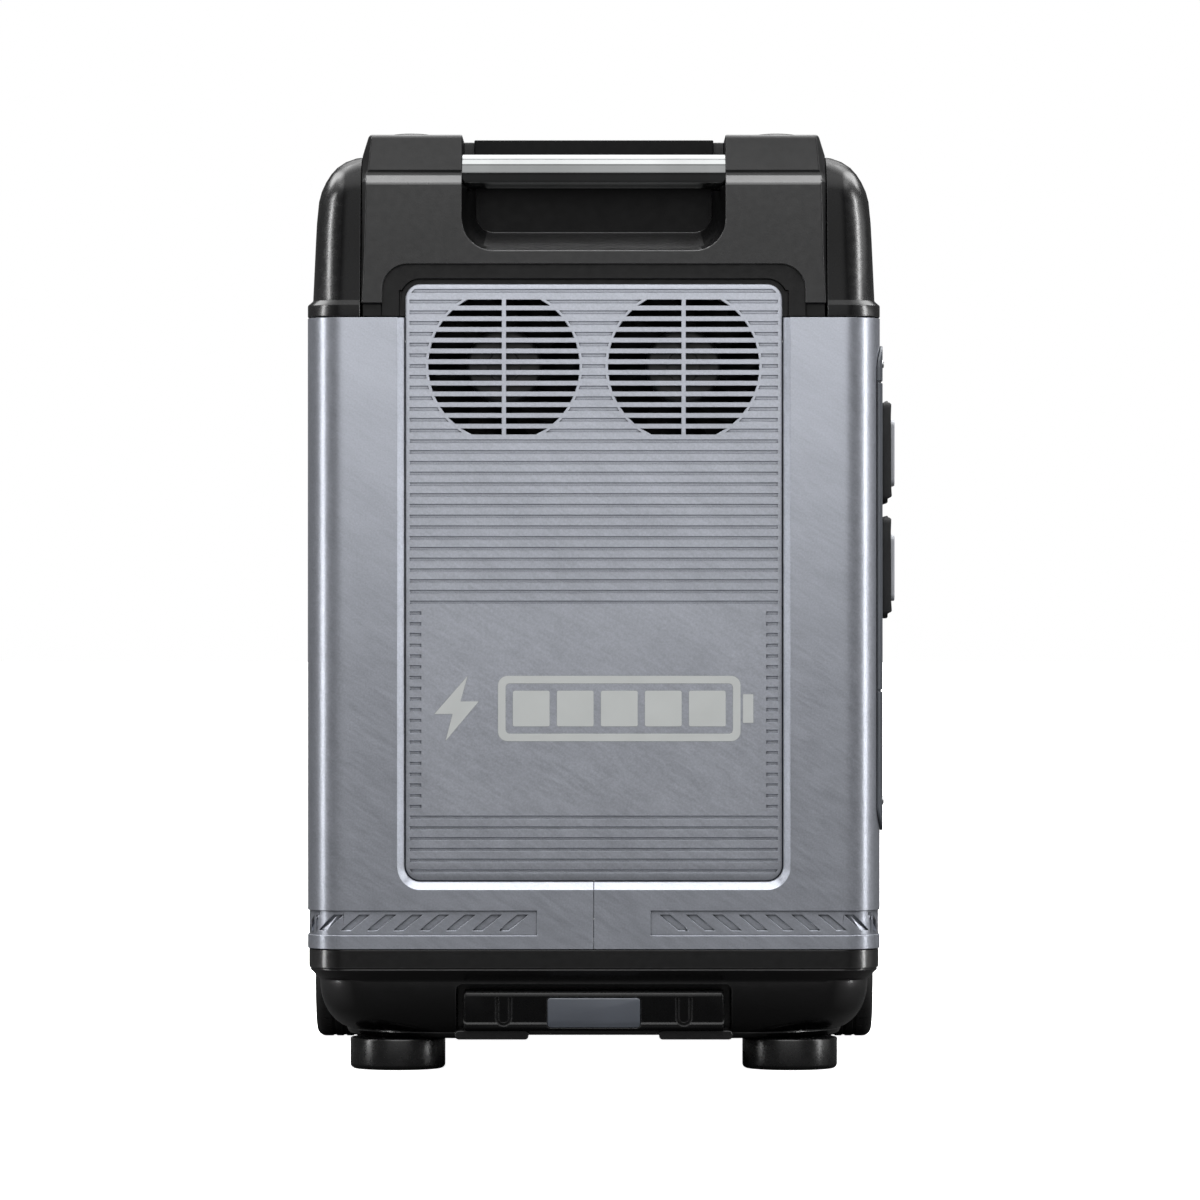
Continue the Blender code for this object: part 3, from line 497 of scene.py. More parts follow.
def moulded(name, colour, roughness, grain=1500, height=0.00003, spread=0.05, vary=0.10, edge_wear_and_highlight=0.0):
    """Moulded plastic or rubber: a spark-eroded grain, a slow drift of tone, uneven sheen, and paler edges
    that are partly wear and partly a painted highlight.
    """
    made = principled(name, colour, roughness)
    drift = noise(made, 28, detail=4.0)
    toned = ramp(made, drift, shade(colour, 1 - vary), shade(colour, 1 + vary))
    if edge_wear_and_highlight:
        toned = wear_and_edge_highlight(made, toned, (edge_wear_and_highlight, edge_wear_and_highlight, edge_wear_and_highlight * 1.02))
    feed(made, "Base Color", toned)
    sheen = noise(made, 210, detail=4.0)
    feed(made, "Roughness", ramp(made, sheen, roughness - spread, roughness + spread))
    add_bump(made, [(noise(made, grain, detail=2.0), height), (noise(made, grain * 0.31), height * 1.4)])
    return made


def painted(name, colour, roughness):
    """Metallic paint: fine flecks, faint slanting streaks, an orange peel, and painted shade in its grooves
    and joints.
    """
    made = principled(name, colour, roughness, 0.70)
    fleck = noise(made, 900, detail=3.0)
    streaks = noise(made, 520, stretch=(0.16, 1.0, 1.0), detail=3.0, turn=(0.0, 0.55, 0.0))
    patches = noise(made, 45, stretch=(0.4, 1.0, 1.0), detail=3.0, turn=(0.0, 0.62, 0.0))
    weights = ((fleck, 0.45), (streaks, 0.30), (patches, 0.25))
    nodes, links = made.node_tree.nodes, made.node_tree.links
    total = None
    for source, weight in weights:
        node = nodes.new("ShaderNodeMath")
        node.operation = "MULTIPLY_ADD"
        node.inputs[1].default_value = weight
        node.inputs[2].default_value = 0.0
        links.new(source, node.inputs[0])
        if total:
            links.new(total, node.inputs[2])
        total = node.outputs[0]
    flecked = ramp(made, total, shade(colour, 0.84), shade(colour, 1.16))
    feed(made, "Base Color", paint_crevice_shade(made, flecked, 0.0020, 0.06))
    feed(made, "Roughness", ramp(made, streaks, roughness - 0.03, roughness + 0.04))
    add_bump(made, [(fleck, 0.000012), (noise(made, 340), 0.00002)])
    return made


def brushed(name, colour, roughness, grain, height=0.000004, spread=0.05):
    """Bare metal with a brushed or drawn grain: grain stretches the noise along one axis."""
    made = principled(name, colour, roughness, 1.0)
    lines = noise(made, 900, stretch=grain, detail=4.0)
    blush = noise(made, 35, detail=3.0)
    feed(made, "Base Color", ramp(made, blush, shade(colour, 0.93), shade(colour, 1.05)))
    feed(made, "Roughness", ramp(made, lines, roughness - spread, roughness + spread))
    add_bump(made, [(lines, height)])
    return made


def glowing(name, colour, strength):
    """A lit display segment, a little uneven as a backlight is."""
    made = principled(name, shade(colour, 0.4), 0.35)
    shader = made.node_tree.nodes["Principled BSDF"]
    shader.inputs["Emission Strength"].default_value = strength
    backlight = noise(made, 60, detail=2.0)
    feed(made, "Emission Color", ramp(made, backlight, shade(colour, 0.8), colour))
    return made


def dulled(made, level):
    """Less mirror-like than most plastics."""
    made.node_tree.nodes["Principled BSDF"].inputs["Specular IOR Level"].default_value = level
    return made


def polished_corners(made, low, high):
    """Make it more mirror-like round the upright corners, where handling polishes a moulding."""
    nodes, links = made.node_tree.nodes, made.node_tree.links
    flat = nodes.new("ShaderNodeNewGeometry")
    parts = nodes.new("ShaderNodeSeparateXYZ")
    links.new(flat.outputs["Normal"], parts.inputs[0])
    across, along, _ = parts.outputs
    diagonal = math_node(made.node_tree, "ABSOLUTE", math_node(made.node_tree, "MULTIPLY", across, along))
    level = nodes.new("ShaderNodeMapRange")
    level.inputs["From Min"].default_value = 0.24
    level.inputs["From Max"].default_value = 0.46
    level.inputs["To Min"].default_value = low
    level.inputs["To Max"].default_value = high
    links.new(diagonal, level.inputs["Value"])
    feed(made, "Specular IOR Level", level.outputs["Result"])


def coated(made, amount, roughness):
    shader = made.node_tree.nodes["Principled BSDF"]
    shader.inputs["Coat Weight"].default_value = amount
    shader.inputs["Coat Roughness"].default_value = roughness
    return made


def circuit(name):
    """Solder mask with faint tracks under it."""
    made = principled(name, (0.010, 0.085, 0.035), 0.32)
    tracks = noise(made, 420, stretch=(1, 0.12, 1), detail=1.0)
    feed(made, "Base Color", ramp(made, tracks, (0.006, 0.055, 0.022), (0.020, 0.130, 0.050)))
    feed(made, "Roughness", ramp(made, noise(made, 90), 0.25, 0.40))
    add_bump(made, [(tracks, 0.00004)])
    return made


BLACK = dulled(moulded("black_moulding", (0.0110, 0.0110, 0.0113), 0.36, edge_wear_and_highlight=0.10), 0.45)
HULL = moulded("black_hull", (0.0030, 0.0030, 0.0032), 0.24, 900, 0.000002, 0.03, edge_wear_and_highlight=0.05)
polished_corners(HULL, 0.80, 2.4)
CHEEK = moulded("black_cover", (0.0060, 0.0060, 0.0063), 0.26, height=0.0000015, spread=0.03, edge_wear_and_highlight=0.06)
polished_corners(CHEEK, 0.14, 1.6)
# Painted highlight: a paler, more mirror-like black for the yoke's rolled ridge and the rim of the pocket.
RIDGE_HIGHLIGHT = dulled(moulded("polished_ridge", (0.045, 0.045, 0.046), 0.30, height=0.00001, spread=0.03), 1.0)
# Painted shade: a darker, duller black that stands in for the shadow inside the hand pocket.
POCKET_SHADE = dulled(moulded("black_pocket", (0.0040, 0.0040, 0.0042), 0.34), 0.10)
# Painted shade: a darker black that stands in for the shadow on the sunk frame round the end panel.
RECESS_SHADE = dulled(moulded("black_recess", (0.0060, 0.0060, 0.0062), 0.36), 0.22)
BLADE = dulled(moulded("blade_plastic", (0.0015, 0.0015, 0.0016), 0.42), 0.15)
RUBBER = dulled(moulded("foot_rubber", (0.0050, 0.0050, 0.0052), 0.27, 700, 0.0000008, 0.03), 0.9)
TYRE = moulded("tyre_rubber", (0.020, 0.020, 0.020), 0.62, 520, 0.00008)
SILVER = painted("silver_shell", (0.420, 0.440, 0.492), 0.31)
PANEL = painted("silver_panel", (0.440, 0.460, 0.512), 0.34)
CHROME = brushed("polished_tube", (0.195, 0.20, 0.20), 0.08, (0.02, 1, 1), 0.000001, 0.03)
STEEL = brushed("plated_steel", (0.60, 0.61, 0.62), 0.28, (1, 1, 1), 0.000006)
ALLOY = brushed("trolley_alloy", (0.68, 0.69, 0.71), 0.30, (1, 0.03, 1))
FINS = brushed("heatsink_alloy", (0.58, 0.59, 0.61), 0.38, (1, 0.05, 1))
BRASS = brushed("contact_brass", (0.80, 0.62, 0.32), 0.25, (1, 1, 0.1))
WHEEL = moulded("wheel_plastic", (0.045, 0.046, 0.049), 0.42)
RELEASE = coated(moulded("release_plastic", (0.095, 0.105, 0.125), 0.34, 1200, 0.00001, vary=0.08), 0.2, 0.2)
BUTTON = moulded("button_grey", (0.16, 0.165, 0.175), 0.45)
FRONT = moulded("front_moulding", (0.085, 0.093, 0.108), 0.40)
PLATE = moulded("cover_plate", (0.40, 0.415, 0.445), 0.36, 1200, 0.00001)
GRIP = dulled(moulded("grip_black", (0.0030, 0.0030, 0.0032), 0.28, 900, 0.000003, 0.03, edge_wear_and_highlight=0.06), 0.22)
COVER = dulled(moulded("cover_moulding", (0.016, 0.0165, 0.018), 0.44), 0.35)
SOCKET = moulded("socket_black", (0.014, 0.014, 0.015), 0.36)
GLASS = coated(moulded("display_glass", (0.004, 0.004, 0.005), 0.08, 300, 0.000001, 0.02), 1.0, 0.02)
FAN = dulled(moulded("fan_plastic", (0.0020, 0.0020, 0.0022), 0.50), 0.15)
ROTOR = dulled(moulded("rotor_plastic", (0.016, 0.017, 0.017), 0.34, 800, 0.00001), 0.3)
WRAP = moulded("cell_wrap", (0.020, 0.075, 0.260), 0.30, 500, 0.00002)
BOARD = circuit("circuit_board")
PRINT = moulded("printed_mark", (0.56, 0.58, 0.572), 0.50, 1800, 0.00001, vary=0.04)
FOAM = moulded("filter_foam", (0.012, 0.012, 0.012), 0.85, 700, 0.0003)
LIT = glowing("display_segments", (0.55, 0.85, 1.0), 1.6)
LIT_GREEN = glowing("charge_segments", (0.30, 1.0, 0.45), 1.4)


# Shells ----------------------------------------------------------------------------------------
def wall_point(s, out):
    """A point of the wall's plan: s along it from the middle of the near end, out metres off its face."""
    straight = HALF_W - CORNER_R
    quarter = CORNER_R * math.pi / 2
    turn = min(max(s - straight, 0) / CORNER_R, math.pi / 2)
    reach = CORNER_R + out
    x = min(s, straight) + reach * math.sin(turn)
    return x, CORNER_R - HALF_L - reach * math.cos(turn) + max(s - straight - quarter, 0)


def stations(start, end):
    """Distances along the wall, close together round the corner."""
    straight = HALF_W - CORNER_R
    bend = straight + CORNER_R * math.pi / 2
    between = [straight + (bend - straight) * i / 20 for i in range(21)]
    return [start] + [s for s in between if start < s < end] + [end]


def add_band(bm, start, end, low, high, depth, lean=0.0):
    """A cutter along the wall between two heights."""
    section = ((0.001, high + lean), (-depth, high - lean), (-depth, low + lean), (0.001, low - lean))
    add_loft(bm, [[Vector((*wall_point(s, out), z)) for out, z in section] for s in stations(start, end)])


def add_trim_slot(bm, start):
    """One leaning slot of the trim strip: its foot starts here, and its top leans to the middle."""
    rings = []
    low, high = TRIM_Z
    for out, grow in ((0.0003, 0.0002), (-STRIP_DEPTH - 0.0012, -0.0002)):
        foot = [(start - grow + (TRIM_W + 2 * grow) * i / 3, low - grow) for i in range(4)]
        head = [(s - TRIM_SLANT, high + grow) for s, z in reversed(foot)]
        rings.append([Vector((*wall_point(s, out), z)) for s, z in foot + head])
    add_loft(bm, rings)


def trim_cutters(side, end):
    """The trim strip of one quarter of the wall: a shallow channel, and leaning slots in it."""
    last = STRIP_END if end < 0 else 0.136
    channel, slots = bmesh.new(), bmesh.new()
    add_band(channel, STRIP_START, last, *STRIP_Z, STRIP_DEPTH, 0.00015)
    start = TRIM_START
    while start + TRIM_W + 0.005 < last:
        add_trim_slot(slots, start)
        start += TRIM_PITCH
    flip = Matrix.Diagonal((side, -end, 1, 1))
    for bm in (channel, slots):
        bmesh.ops.triangulate(bm, faces=bm.faces)
        bmesh.ops.transform(bm, matrix=flip, verts=bm.verts)
    return channel, slots


def half_ring(side):
    """Plan outline of one half of the wall, split at the middle of both ends."""
    seam = GAP / 2
    outer = [(seam, -HALF_L)]
    outer += arc((HALF_W - CORNER_R, CORNER_R - HALF_L), CORNER_R, -90, 0, 20)
    outer += arc((HALF_W - CORNER_R, HALF_L - CORNER_R), CORNER_R, 0, 90, 20)
    outer.append((seam, HALF_L))
    inner = [(seam, HALF_L - WALL)]
    inner += arc((HALF_W - CORNER_R, HALF_L - CORNER_R), CORNER_R - WALL, 90, 0, 8)
    inner += arc((HALF_W - CORNER_R, CORNER_R - HALF_L), CORNER_R - WALL, 0, -90, 8)
    inner.append((seam, WALL - HALF_L))
    return [(side * x, y) for x, y in outer + inner]


def panel_outline(grow, drop=0.0, top=PANEL_Z[1]):
    """The end panel's outline grown by some amount, its foot by drop more, its top at the given height."""
    low = (-PANEL_HALF_W - grow, PANEL_Z[0] - grow - drop)
    return rounded_rect(low, (PANEL_HALF_W + grow, top), PANEL_R + grow)


def reveal(end):
    """The cutter of a sunk panel's opening, with the bright chamfer that leads down to it."""
    shaft = [(GAP, 0, HALF_L - PAST), (GAP, 0, HALF_L - REVEAL_DEPTH)]
    mouth = [(*REVEAL, HALF_L), (*REVEAL, HALF_L + PAST)]
    rings = []
    for grow, drop, y in shaft + mouth:
        rings.append([Vector((x, end * y, z)) for x, z in panel_outline(grow, drop, PANEL_Z[1] + PAST)])
    return made_of(add_loft, rings)


def wheel_cylinder(side, radius, inner, outer, steps=64):
    low, high = sorted((side * inner, side * outer))
    return cylinder("X", (WHEEL_Y, WHEEL_R), radius, low, high, steps)


def thicken_end(shell, side, end):
    """Add the thick wall that the reveal round an end panel is cut from."""
    low_x, high_x = sorted((side * GAP / 2, side * 0.1250))
    low_y, high_y = sorted((end * (HALF_L - 0.0015), end * (HALF_L - 0.0088)))
    join(shell, box((low_x, low_y, 0.1122), (high_x, high_y, SHELL_Z[1])))


def make_shells():
    openings = {
        1: prism(node_outline("front_panel", 0.014, 0.012, 0.010), "X", HALF_W - PAST, HALF_W + PAST),
        -1: prism(node_outline("rear_port_panel", -GAP, -GAP, 0.006), "X", -HALF_W - PAST, PAST - HALF_W),
    }
    for name, side in (("front_body_shell", 1), ("rear_body_shell", -1)):
        shell = block("shell_" + name.split("_")[0], prism(half_ring(side), "Z", *SHELL_Z))
        for end in (-1, 1):
            thicken_end(shell, side, end)
            cut(shell, reveal(end))
            for cutter in trim_cutters(side, end):
                cut(shell, cutter)
        cut(shell, wheel_cylinder(side, 0.0563, 0.1417, HALF_W + PAST))
        cut(shell, openings[side])
        finish(shell, SILVER, nodes=[name], bevel=0.00022)


# End panels ------------------------------------------------------------------------------------
def add_groove(bm, low_x, high_x, top):
    """A groove's cutter, narrower at its bottom, so that its walls lean."""
    lean = 0.0006
    above = 0.0003
    rings = []
    for grow, y in ((lean * above / GROOVE_DEPTH, PANEL_Y[0] - above), (-lean, PANEL_Y[0] + GROOVE_DEPTH)):
        low = (low_x - grow, top - GROOVE_H - grow)
        high = (high_x + grow, top + grow)
        outline = ((low[0], low[1]), (high[0], low[1]), (high[0], high[1]), (low[0], high[1]))
        rings.append([Vector((x, y, z)) for x, z in outline])
    add_loft(bm, rings)


def groove_field():
    """Every groove as one mesh, clipped by the panel's round corners and kept off the grilles."""
    grooves = bmesh.new()
    last = int((GROOVE_TOP - PANEL_Z[0] - GROOVE_H) / PITCH)
    for row in range(-1, last + 1):
        top = GROOVE_TOP - row * PITCH
        if row in STUB_ROWS:
            add_groove(grooves, -GROOVE_HALF, -STUB_X, top)
            add_groove(grooves, STUB_X, GROOVE_HALF, top)
        else:
            add_groove(grooves, -GROOVE_HALF, GROOVE_HALF, top)
    field = block("grooves", grooves)
    inset = PANEL_HALF_W - GROOVE_HALF
    low = (-GROOVE_HALF - 0.0002, PANEL_Z[0] + inset)
    high = (GROOVE_HALF + 0.0002, PANEL_Z[1] - 0.0022)
    keep(field, prism(rounded_rect(low, high, 0.0072), "Y", PANEL_Y[0] - 0.002, PANEL_Y[0] + 0.002))
    discs = bmesh.new()
    for side in (-1, 1):
        circle = arc((side * FAN_X, FAN_Z), GRILLE_R + 0.0017, 0, 360, 96)[:-1]
        flat = 6.4 * PITCH
        circle = [(x, min(max(z, FAN_Z - flat), FAN_Z + flat)) for x, z in circle]
        add_prism(discs, circle, "Y", PANEL_Y[0] - 0.003, PANEL_Y[0] + 0.002)
    bmesh.ops.remove_doubles(discs, verts=discs.verts, dist=0.00001)
    cut(field, discs)
    return taken(field)


def add_grille(bm, centre_x):
    """Slots of one round grille, split by its upright rib, their ends on the circle."""
    face, back = PANEL_Y
    for row in range(13):
        top = GROOVE_TOP - row * PITCH
        bottom = top - SLOT_H
        for side in (-1, 1):
            rings = []
            for grow, y in ((0.0006, face - 0.0003), (0.0, face + 0.0003), (0.0, back + 0.002)):
                radius = GRILLE_R + grow
                low_x = centre_x + side * (RIB_HALF - grow * 0.5)
                low_z, high_z = bottom - grow / 2, top + grow / 2
                foot, head = (math.sqrt(radius**2 - (z - FAN_Z) ** 2) for z in (low_z, high_z))
                corners = ((low_x, low_z), (centre_x + side * foot, low_z),
                           (centre_x + side * head, high_z), (low_x, high_z))
                rings.append([Vector((x, y, z)) for x, z in corners])
            add_loft(bm, rings)


def make_end_panels():
    face, back = PANEL_Y
    rings = []
    wall = [(0, back), (0, face + 0.0007)]
    rim = [(0.00012, face + 0.00035), (0.00035, face + 0.00012), (0.0007, face)]
    for inset, y in wall + rim:
        rings.append([Vector((x, y, z)) for x, z in panel_outline(-inset, 0, PANEL_Z[1] - inset)])
    panel = block("end_panel_near", made_of(add_loft, rings))
    cut(panel, groove_field())
    slots = bmesh.new()
    for side in (-1, 1):
        add_grille(slots, side * FAN_X)
    bmesh.ops.triangulate(slots, faces=slots.faces)
    cut(panel, slots)
    far = turned_copy(panel, "end_panel_far")
    finish(panel, PANEL, nodes=["near_end_panel"], angle=20)
    finish(far, PANEL, nodes=["far_end_panel"], angle=20)


def make_marking():
    """A generic charge pictogram in light print: a bolt, and a battery outline with charge bars."""
    low = Vector((-0.060, 0.2075))
    high = Vector((0.092, 0.2485))
    middle = (low.y + high.y) / 2
    border = 0.0048
    space = 0.0045
    bars = 5
    terminal = ((high.x + 0.0015, middle - 0.009), (high.x + 0.008, middle - 0.009),
                (high.x + 0.008, middle + 0.009), (high.x + 0.0015, middle + 0.009))
    bolt = ((-0.079, high.y), (-0.100, middle - 0.0035), (-0.0885, middle - 0.0035),
            (-0.093, low.y), (-0.072, middle + 0.0045), (-0.0835, middle + 0.0045))
    shapes = [terminal]
    start = low.x + border + space
    pitch = (high.x - border - start) / bars
    for i in range(bars):
        bar_low = (start + i * pitch, low.y + border + space)
        bar_high = (start + (i + 1) * pitch - space, high.y - border - space)
        shapes.append(rounded_rect(bar_low, bar_high, 0.0012, 4))
    shapes.append(bolt)
    depth = (PANEL_Y[0] - 0.00012, PANEL_Y[0] + 0.0002)
    bm = bmesh.new()
    for shape in shapes:
        add_prism(bm, shape, "Y", *depth)
    marking = block("charge_pictogram", bm)
    outline = block("battery_outline", prism(rounded_rect(low, high, 0.006), "Y", *depth))
    edge = Vector((border, border))
    hollow = rounded_rect(low + edge, high - edge, 0.0026)
    cut(outline, prism(hollow, "Y", PANEL_Y[0] - 0.002, PANEL_Y[0] + 0.002))
    for obj in (marking, outline):
        finish(obj, PRINT)
    for obj in (marking, outline):
        finish(turned_copy(obj, obj.name + "_far"), PRINT)


# Fans ------------------------------------------------------------------------------------------
def add_blade(bm, centre, turn, low_y, high_y, hub_r, tip_r):
    """One swept blade, a curved sheet with a little thickness."""
    rings = []
    spans = 8
    chords = 7
    for i in range(spans + 1):
        share = i / spans
        radius = hub_r - 0.002 + (tip_r - hub_r + 0.002) * share
        sweep = turn + math.radians(18) * share**1.3
        half_chord = math.radians(19 - 3 * share)
        front, rear = [], []
        for j in range(chords + 1):
            t = j / chords
            angle = sweep - half_chord + 2 * half_chord * t
            camber = 0.0016 * math.sin(math.pi * t)
            y = low_y + 0.0015 + (high_y - low_y - 0.003) * t - camber
            thickness = 0.0005 + 0.0011 * math.sin(math.pi * min(t + 0.15, 1))
            for side, points in ((-0.5, front), (0.5, rear)):
                a = angle + side * thickness / radius
                x, z = centre[0] + radius * math.cos(a), centre[1] + radius * math.sin(a)
                points.append(Vector((x, y + side * thickness, z)))
        rings.append(front + rear[::-1])
    add_loft(bm, rings)


def make_fans():
    for name, side in (("front", 1), ("rear", -1)):
        node = "fan_rotor_" + name
        low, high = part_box(node)
        centre = (side * FAN_X, FAN_Z)
        tip_r = (high.x - low.x) / 2
        hub_r = 0.024
        edge = arc((hub_r - 0.003, low.y + 0.003), 0.003, 270, 360, 6)
        profile = [(0.010, low.y + 0.0006), (0.0105, low.y), *edge, (hub_r, high.y)]
        hub = block("fan_hub_" + name, lathe(profile, "Y", centre, 96))
        finish(hub, ROTOR, name + "_fan", [node], angle=40)
        blades = bmesh.new()
        for i in range(7):
            add_blade(blades, centre, 2 * math.pi * i / 7, low.y, high.y, hub_r, tip_r - 0.0005)
        finish(block("fan_blades_" + name, blades), BLADE, name + "_fan", angle=50)


# Base ------------------------------------------------------------------------------------------
def hull_radius(inset):
    """The base's corners open out as the skirt turns under."""
    return CORNER_R + 90 * inset**2


def add_hull(bm, profile, half_w, half_l):
    rings = []
    for inset, z in profile:
        low, high = (inset - half_w, inset - half_l), (half_w - inset, half_l - inset)
        rings.append([Vector((x, y, z)) for x, y in rounded_rect(low, high, hull_radius(inset), 20)])
    add_loft(bm, rings)


def tray_profile():
    """The tray's outside from its foot up: the skirt, a step, a fine line and the band under the shells."""
    foot = BASE_LOW.z
    top = SHELL_Z[0] - GAP
    profile = [(0.0250, foot), (0.0234, foot + 0.0002), (0.0226, foot + 0.0012), (0.0219, 0.0234)]
    for i in range(13, -1, -1):
        drop = i / 13
        bulge = 1 - math.sqrt(1 - (SKIRT_H / SKIRT_REACH * drop) ** 2)
        profile.append((0.0066 + SKIRT_IN * bulge, 0.0563 - SKIRT_H * drop))
    profile += [(0.0066, 0.0572), (0.0062, 0.0578), (0.0058, 0.0583), (0.0006, 0.0640), (0.0010, 0.0643)]
    return profile + [(0.0010, 0.0649), (0.0, 0.0653), (0.0, top - 0.0004), (0.0004, top)]


def wheel_arch(side, half_w, half_l):
    """The rim round a wheel, kept just inside the tray's sides."""
    inset = 0.0004
    arch = block("arch", wheel_cylinder(side, ARCH_R, ARCH_X, HALF_W))
    outline = rounded_rect((inset - half_w, inset - half_l), (half_w - inset, half_l - inset), CORNER_R)
    keep(arch, prism(outline, "Z", 0.040, 0.120))
    return taken(arch)


def tray_hollow(half_w, half_l):
    """What is taken out inside the tray: all but the walls of the trolley's bay and of the wheel arches."""
    profile = ((0.030, 0.0290), (0.016, 0.0470), (0.011, 0.0640), (0.006, 0.0700), (0.006, 0.0900))
    hollow = block("hollow", made_of(add_hull, profile, half_w, half_l))
    cut(hollow, box((-BAY_HALF - 0.004, -HALF_L - PAST, 0), (BAY_HALF + 0.004, -0.154, 0.059)))
    for side in (-1, 1):
        cut(hollow, wheel_cylinder(side, ARCH_R, ARCH_X, HALF_W + PAST))
    return taken(hollow)


def fit_out_side(tray, side):
    """One side's wheel well, axle hole and trolley guide hole, and the ledge that closes the bay's foot."""
    cut(tray, wheel_cylinder(side, WELL_R, WELL_X, HALF_W + PAST, 96))
    cut(tray, wheel_cylinder(side, 0.0063, 0.12, 0.156))
    low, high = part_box("trolley_guide_front" if side > 0 else "trolley_guide_rear")
    hole = rounded_rect((low.x - GAP, low.z - GAP), (high.x + GAP, high.z + GAP), 0.0033)
    cut(tray, prism(hole, "Y", -0.168, -0.148))
    low_x, high_x = sorted((side * 0.0410, side * 0.0870))
    ledge = rounded_rect((low_x, BASE_LOW.z + 0.0001), (high_x, 0.0256), 0.0022, 4)
    join(tray, prism(ledge, "Y", -0.2090, -0.1700))


def make_base():
    half_w, half_l = BASE_HIGH.x, BASE_HIGH.y
    tray = block("base_tray_skin", made_of(add_hull, tray_profile(), half_w, half_l))
    for side in (-1, 1):
        join(tray, wheel_arch(side, half_w, half_l))
    cut(tray, tray_hollow(half_w, half_l))
    bay = rounded_rect((-BAY_HALF, -0.02), (BAY_HALF, 0.055), 0.004, 6)
    cut(tray, prism(bay, "Y", -HALF_L - PAST, -0.158))
    for side in (-1, 1):
        fit_out_side(tray, side)
    finish(tray, HULL, nodes=["base_tray"], bevel=0.0003, segments=3, angle=38)


def make_feet():
    for name in ("foot_front", "foot_rear"):
        centre, radius = round_plan(name)
        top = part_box(name)[1].z
        edge = arc((radius - 0.003, 0.003), 0.003, 270, 360, 8)
        shoulder = arc((radius - 0.0012, top - 0.0012), 0.0012, 0, 90, 4)
        profile = [(0.008, 0.0012), (0.0085, 0.0), *edge, *shoulder]
        foot = block(name + "_pad", lathe(profile, "Z", centre, 96))
        finish(foot, RUBBER, nodes=[name], angle=50)
        screw = lathe(((0.0062, 0.0018), (0.0062, 0.0008), (0.0050, 0.0003)), "Z", centre, 32)
        finish(block(name + "_screw", screw), STEEL)


def tyre_profile(inner, outer):
    """A tyre's section: its tread with round shoulders and three grooves, and its lipped outer wall."""
    shoulder = 0.006
    floor = WHEEL_R - 0.0006
    tread = arc((WHEEL_R - shoulder, inner + shoulder), shoulder, -90, 0, 6)
    for share in (0.32, 0.5, 0.68):
        middle = inner + (outer - inner) * share
        tread += [(WHEEL_R, middle - 0.0013), (floor, middle - 0.0008)]
        tread += [(floor, middle + 0.0008), (WHEEL_R, middle + 0.0013)]
    tread += arc((WHEEL_R - shoulder, outer - shoulder), shoulder, 0, 90, 6)
    wall = [(0.0385, outer), (0.0380, outer - 0.0006), (0.0365, outer - 0.0006), (0.0360, outer)]
    return [(TYRE_BORE, inner), *tread, *wall, (0.0330, outer - 0.0004), (TYRE_BORE, outer - 0.001)]


def tread_sipes(side, inner, width):
    """Short cuts across both shoulders of the tread, one row half a pitch on from the other."""
    count = 36
    sipes = bmesh.new()
    for i in range(count):
        for row, (start, end) in enumerate(((-0.001, 0.0095), (width - 0.0095, width + 0.001))):
            low = (side * (inner + start), -0.0006, WHEEL_R - 0.0006)
            sipe = box(low, (side * (inner + end), 0.0007, WHEEL_R + 0.002))
            turn = Matrix.Rotation(2 * math.pi * (i + 0.5 * row) / count, 4, "X")
            add_moved(sipes, sipe, Matrix.Translation((0, WHEEL_Y, WHEEL_R)) @ turn)
    return sipes


def make_tyre(name, side, inner, outer):
    profile = [(r, side * x) for r, x in tyre_profile(inner, outer)]
    tyre = block("tyre_" + name + "_tread", lathe(profile, "X", (WHEEL_Y, WHEEL_R), 96))
    cut(tyre, wheel_cylinder(side, TYRE_BORE, inner - 0.01, outer + 0.01, 96))
    cut(tyre, tread_sipes(side, inner, outer - inner))
    finish(tyre, TYRE, name + "_wheel", ["tyre_" + name], angle=35)


def make_hub(name, side, inner, outer):
    """A dished hub with six pockets between its spokes."""
    radius = 0.0322
    dish, rim = outer - 0.0032, outer - 0.0018
    profile = [(radius, inner + 0.002), (radius, dish), (radius - 0.0014, rim), (radius - 0.0040, rim),
               (radius - 0.0052, dish), (0.0128, dish), (0.0122, outer - 0.0022)]
    turned = lathe([(r, side * x) for r, x in profile], "X", (WHEEL_Y, WHEEL_R), 96)
    hub = block("wheel_hub_" + name + "_spoked", turned)
    cut(hub, wheel_cylinder(side, 0.0064, 0.14, 0.20))
    cut(hub, wheel_cylinder(side, 0.0115, 0.1815, 0.20))
    pockets = bmesh.new()
    depth = sorted((side * (outer - 0.016), side * (outer + 0.01)))
    for middle in range(0, 360, 60):
        outline = arc((WHEEL_Y, WHEEL_R), 0.0255, middle - 22, middle + 22, 8)
        outline += arc((WHEEL_Y, WHEEL_R), 0.0155, middle + 17, middle - 17, 6)
        add_prism(pockets, outline, "X", *depth)
    cut(hub, pockets)
    finish(hub, WHEEL, name + "_wheel", ["wheel_hub_" + name], bevel=0.0004)


def make_wheels():
    for name, side in (("front", 1), ("rear", -1)):
        low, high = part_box("tyre_" + name)
        inner, outer = sorted((abs(low.x), abs(high.x)))
        make_tyre(name, side, inner, outer)
        make_hub(name, side, inner, outer)


# Trolley handle --------------------------------------------------------------------------------
def grip_section(inset):
    """Across the grip: a soft top edge, a slightly hollow face and a lip along its foot."""
    front, back = GRIP_LOW.y + inset, GRIP_HIGH.y - inset
    low, high = GRIP_LOW.z + inset, GRIP_HIGH.z - inset
    outline = arc((front + 0.0035, high - 0.0035), 0.0035, 180, 90, 6)
    outline += arc((back - 0.005, high - 0.005), 0.005, 90, 0, 5)
    outline += arc((back - 0.005, low + 0.005), 0.005, 0, -90, 5)
    outline += arc((front + 0.0022, low + 0.0022), 0.0022, 270, 180, 5)
    outline += [(front + 0.0001, low + 0.0042), (front + 0.0010, low + 0.0052)]
    return outline + [(front + 0.0006, low + 0.0110)]


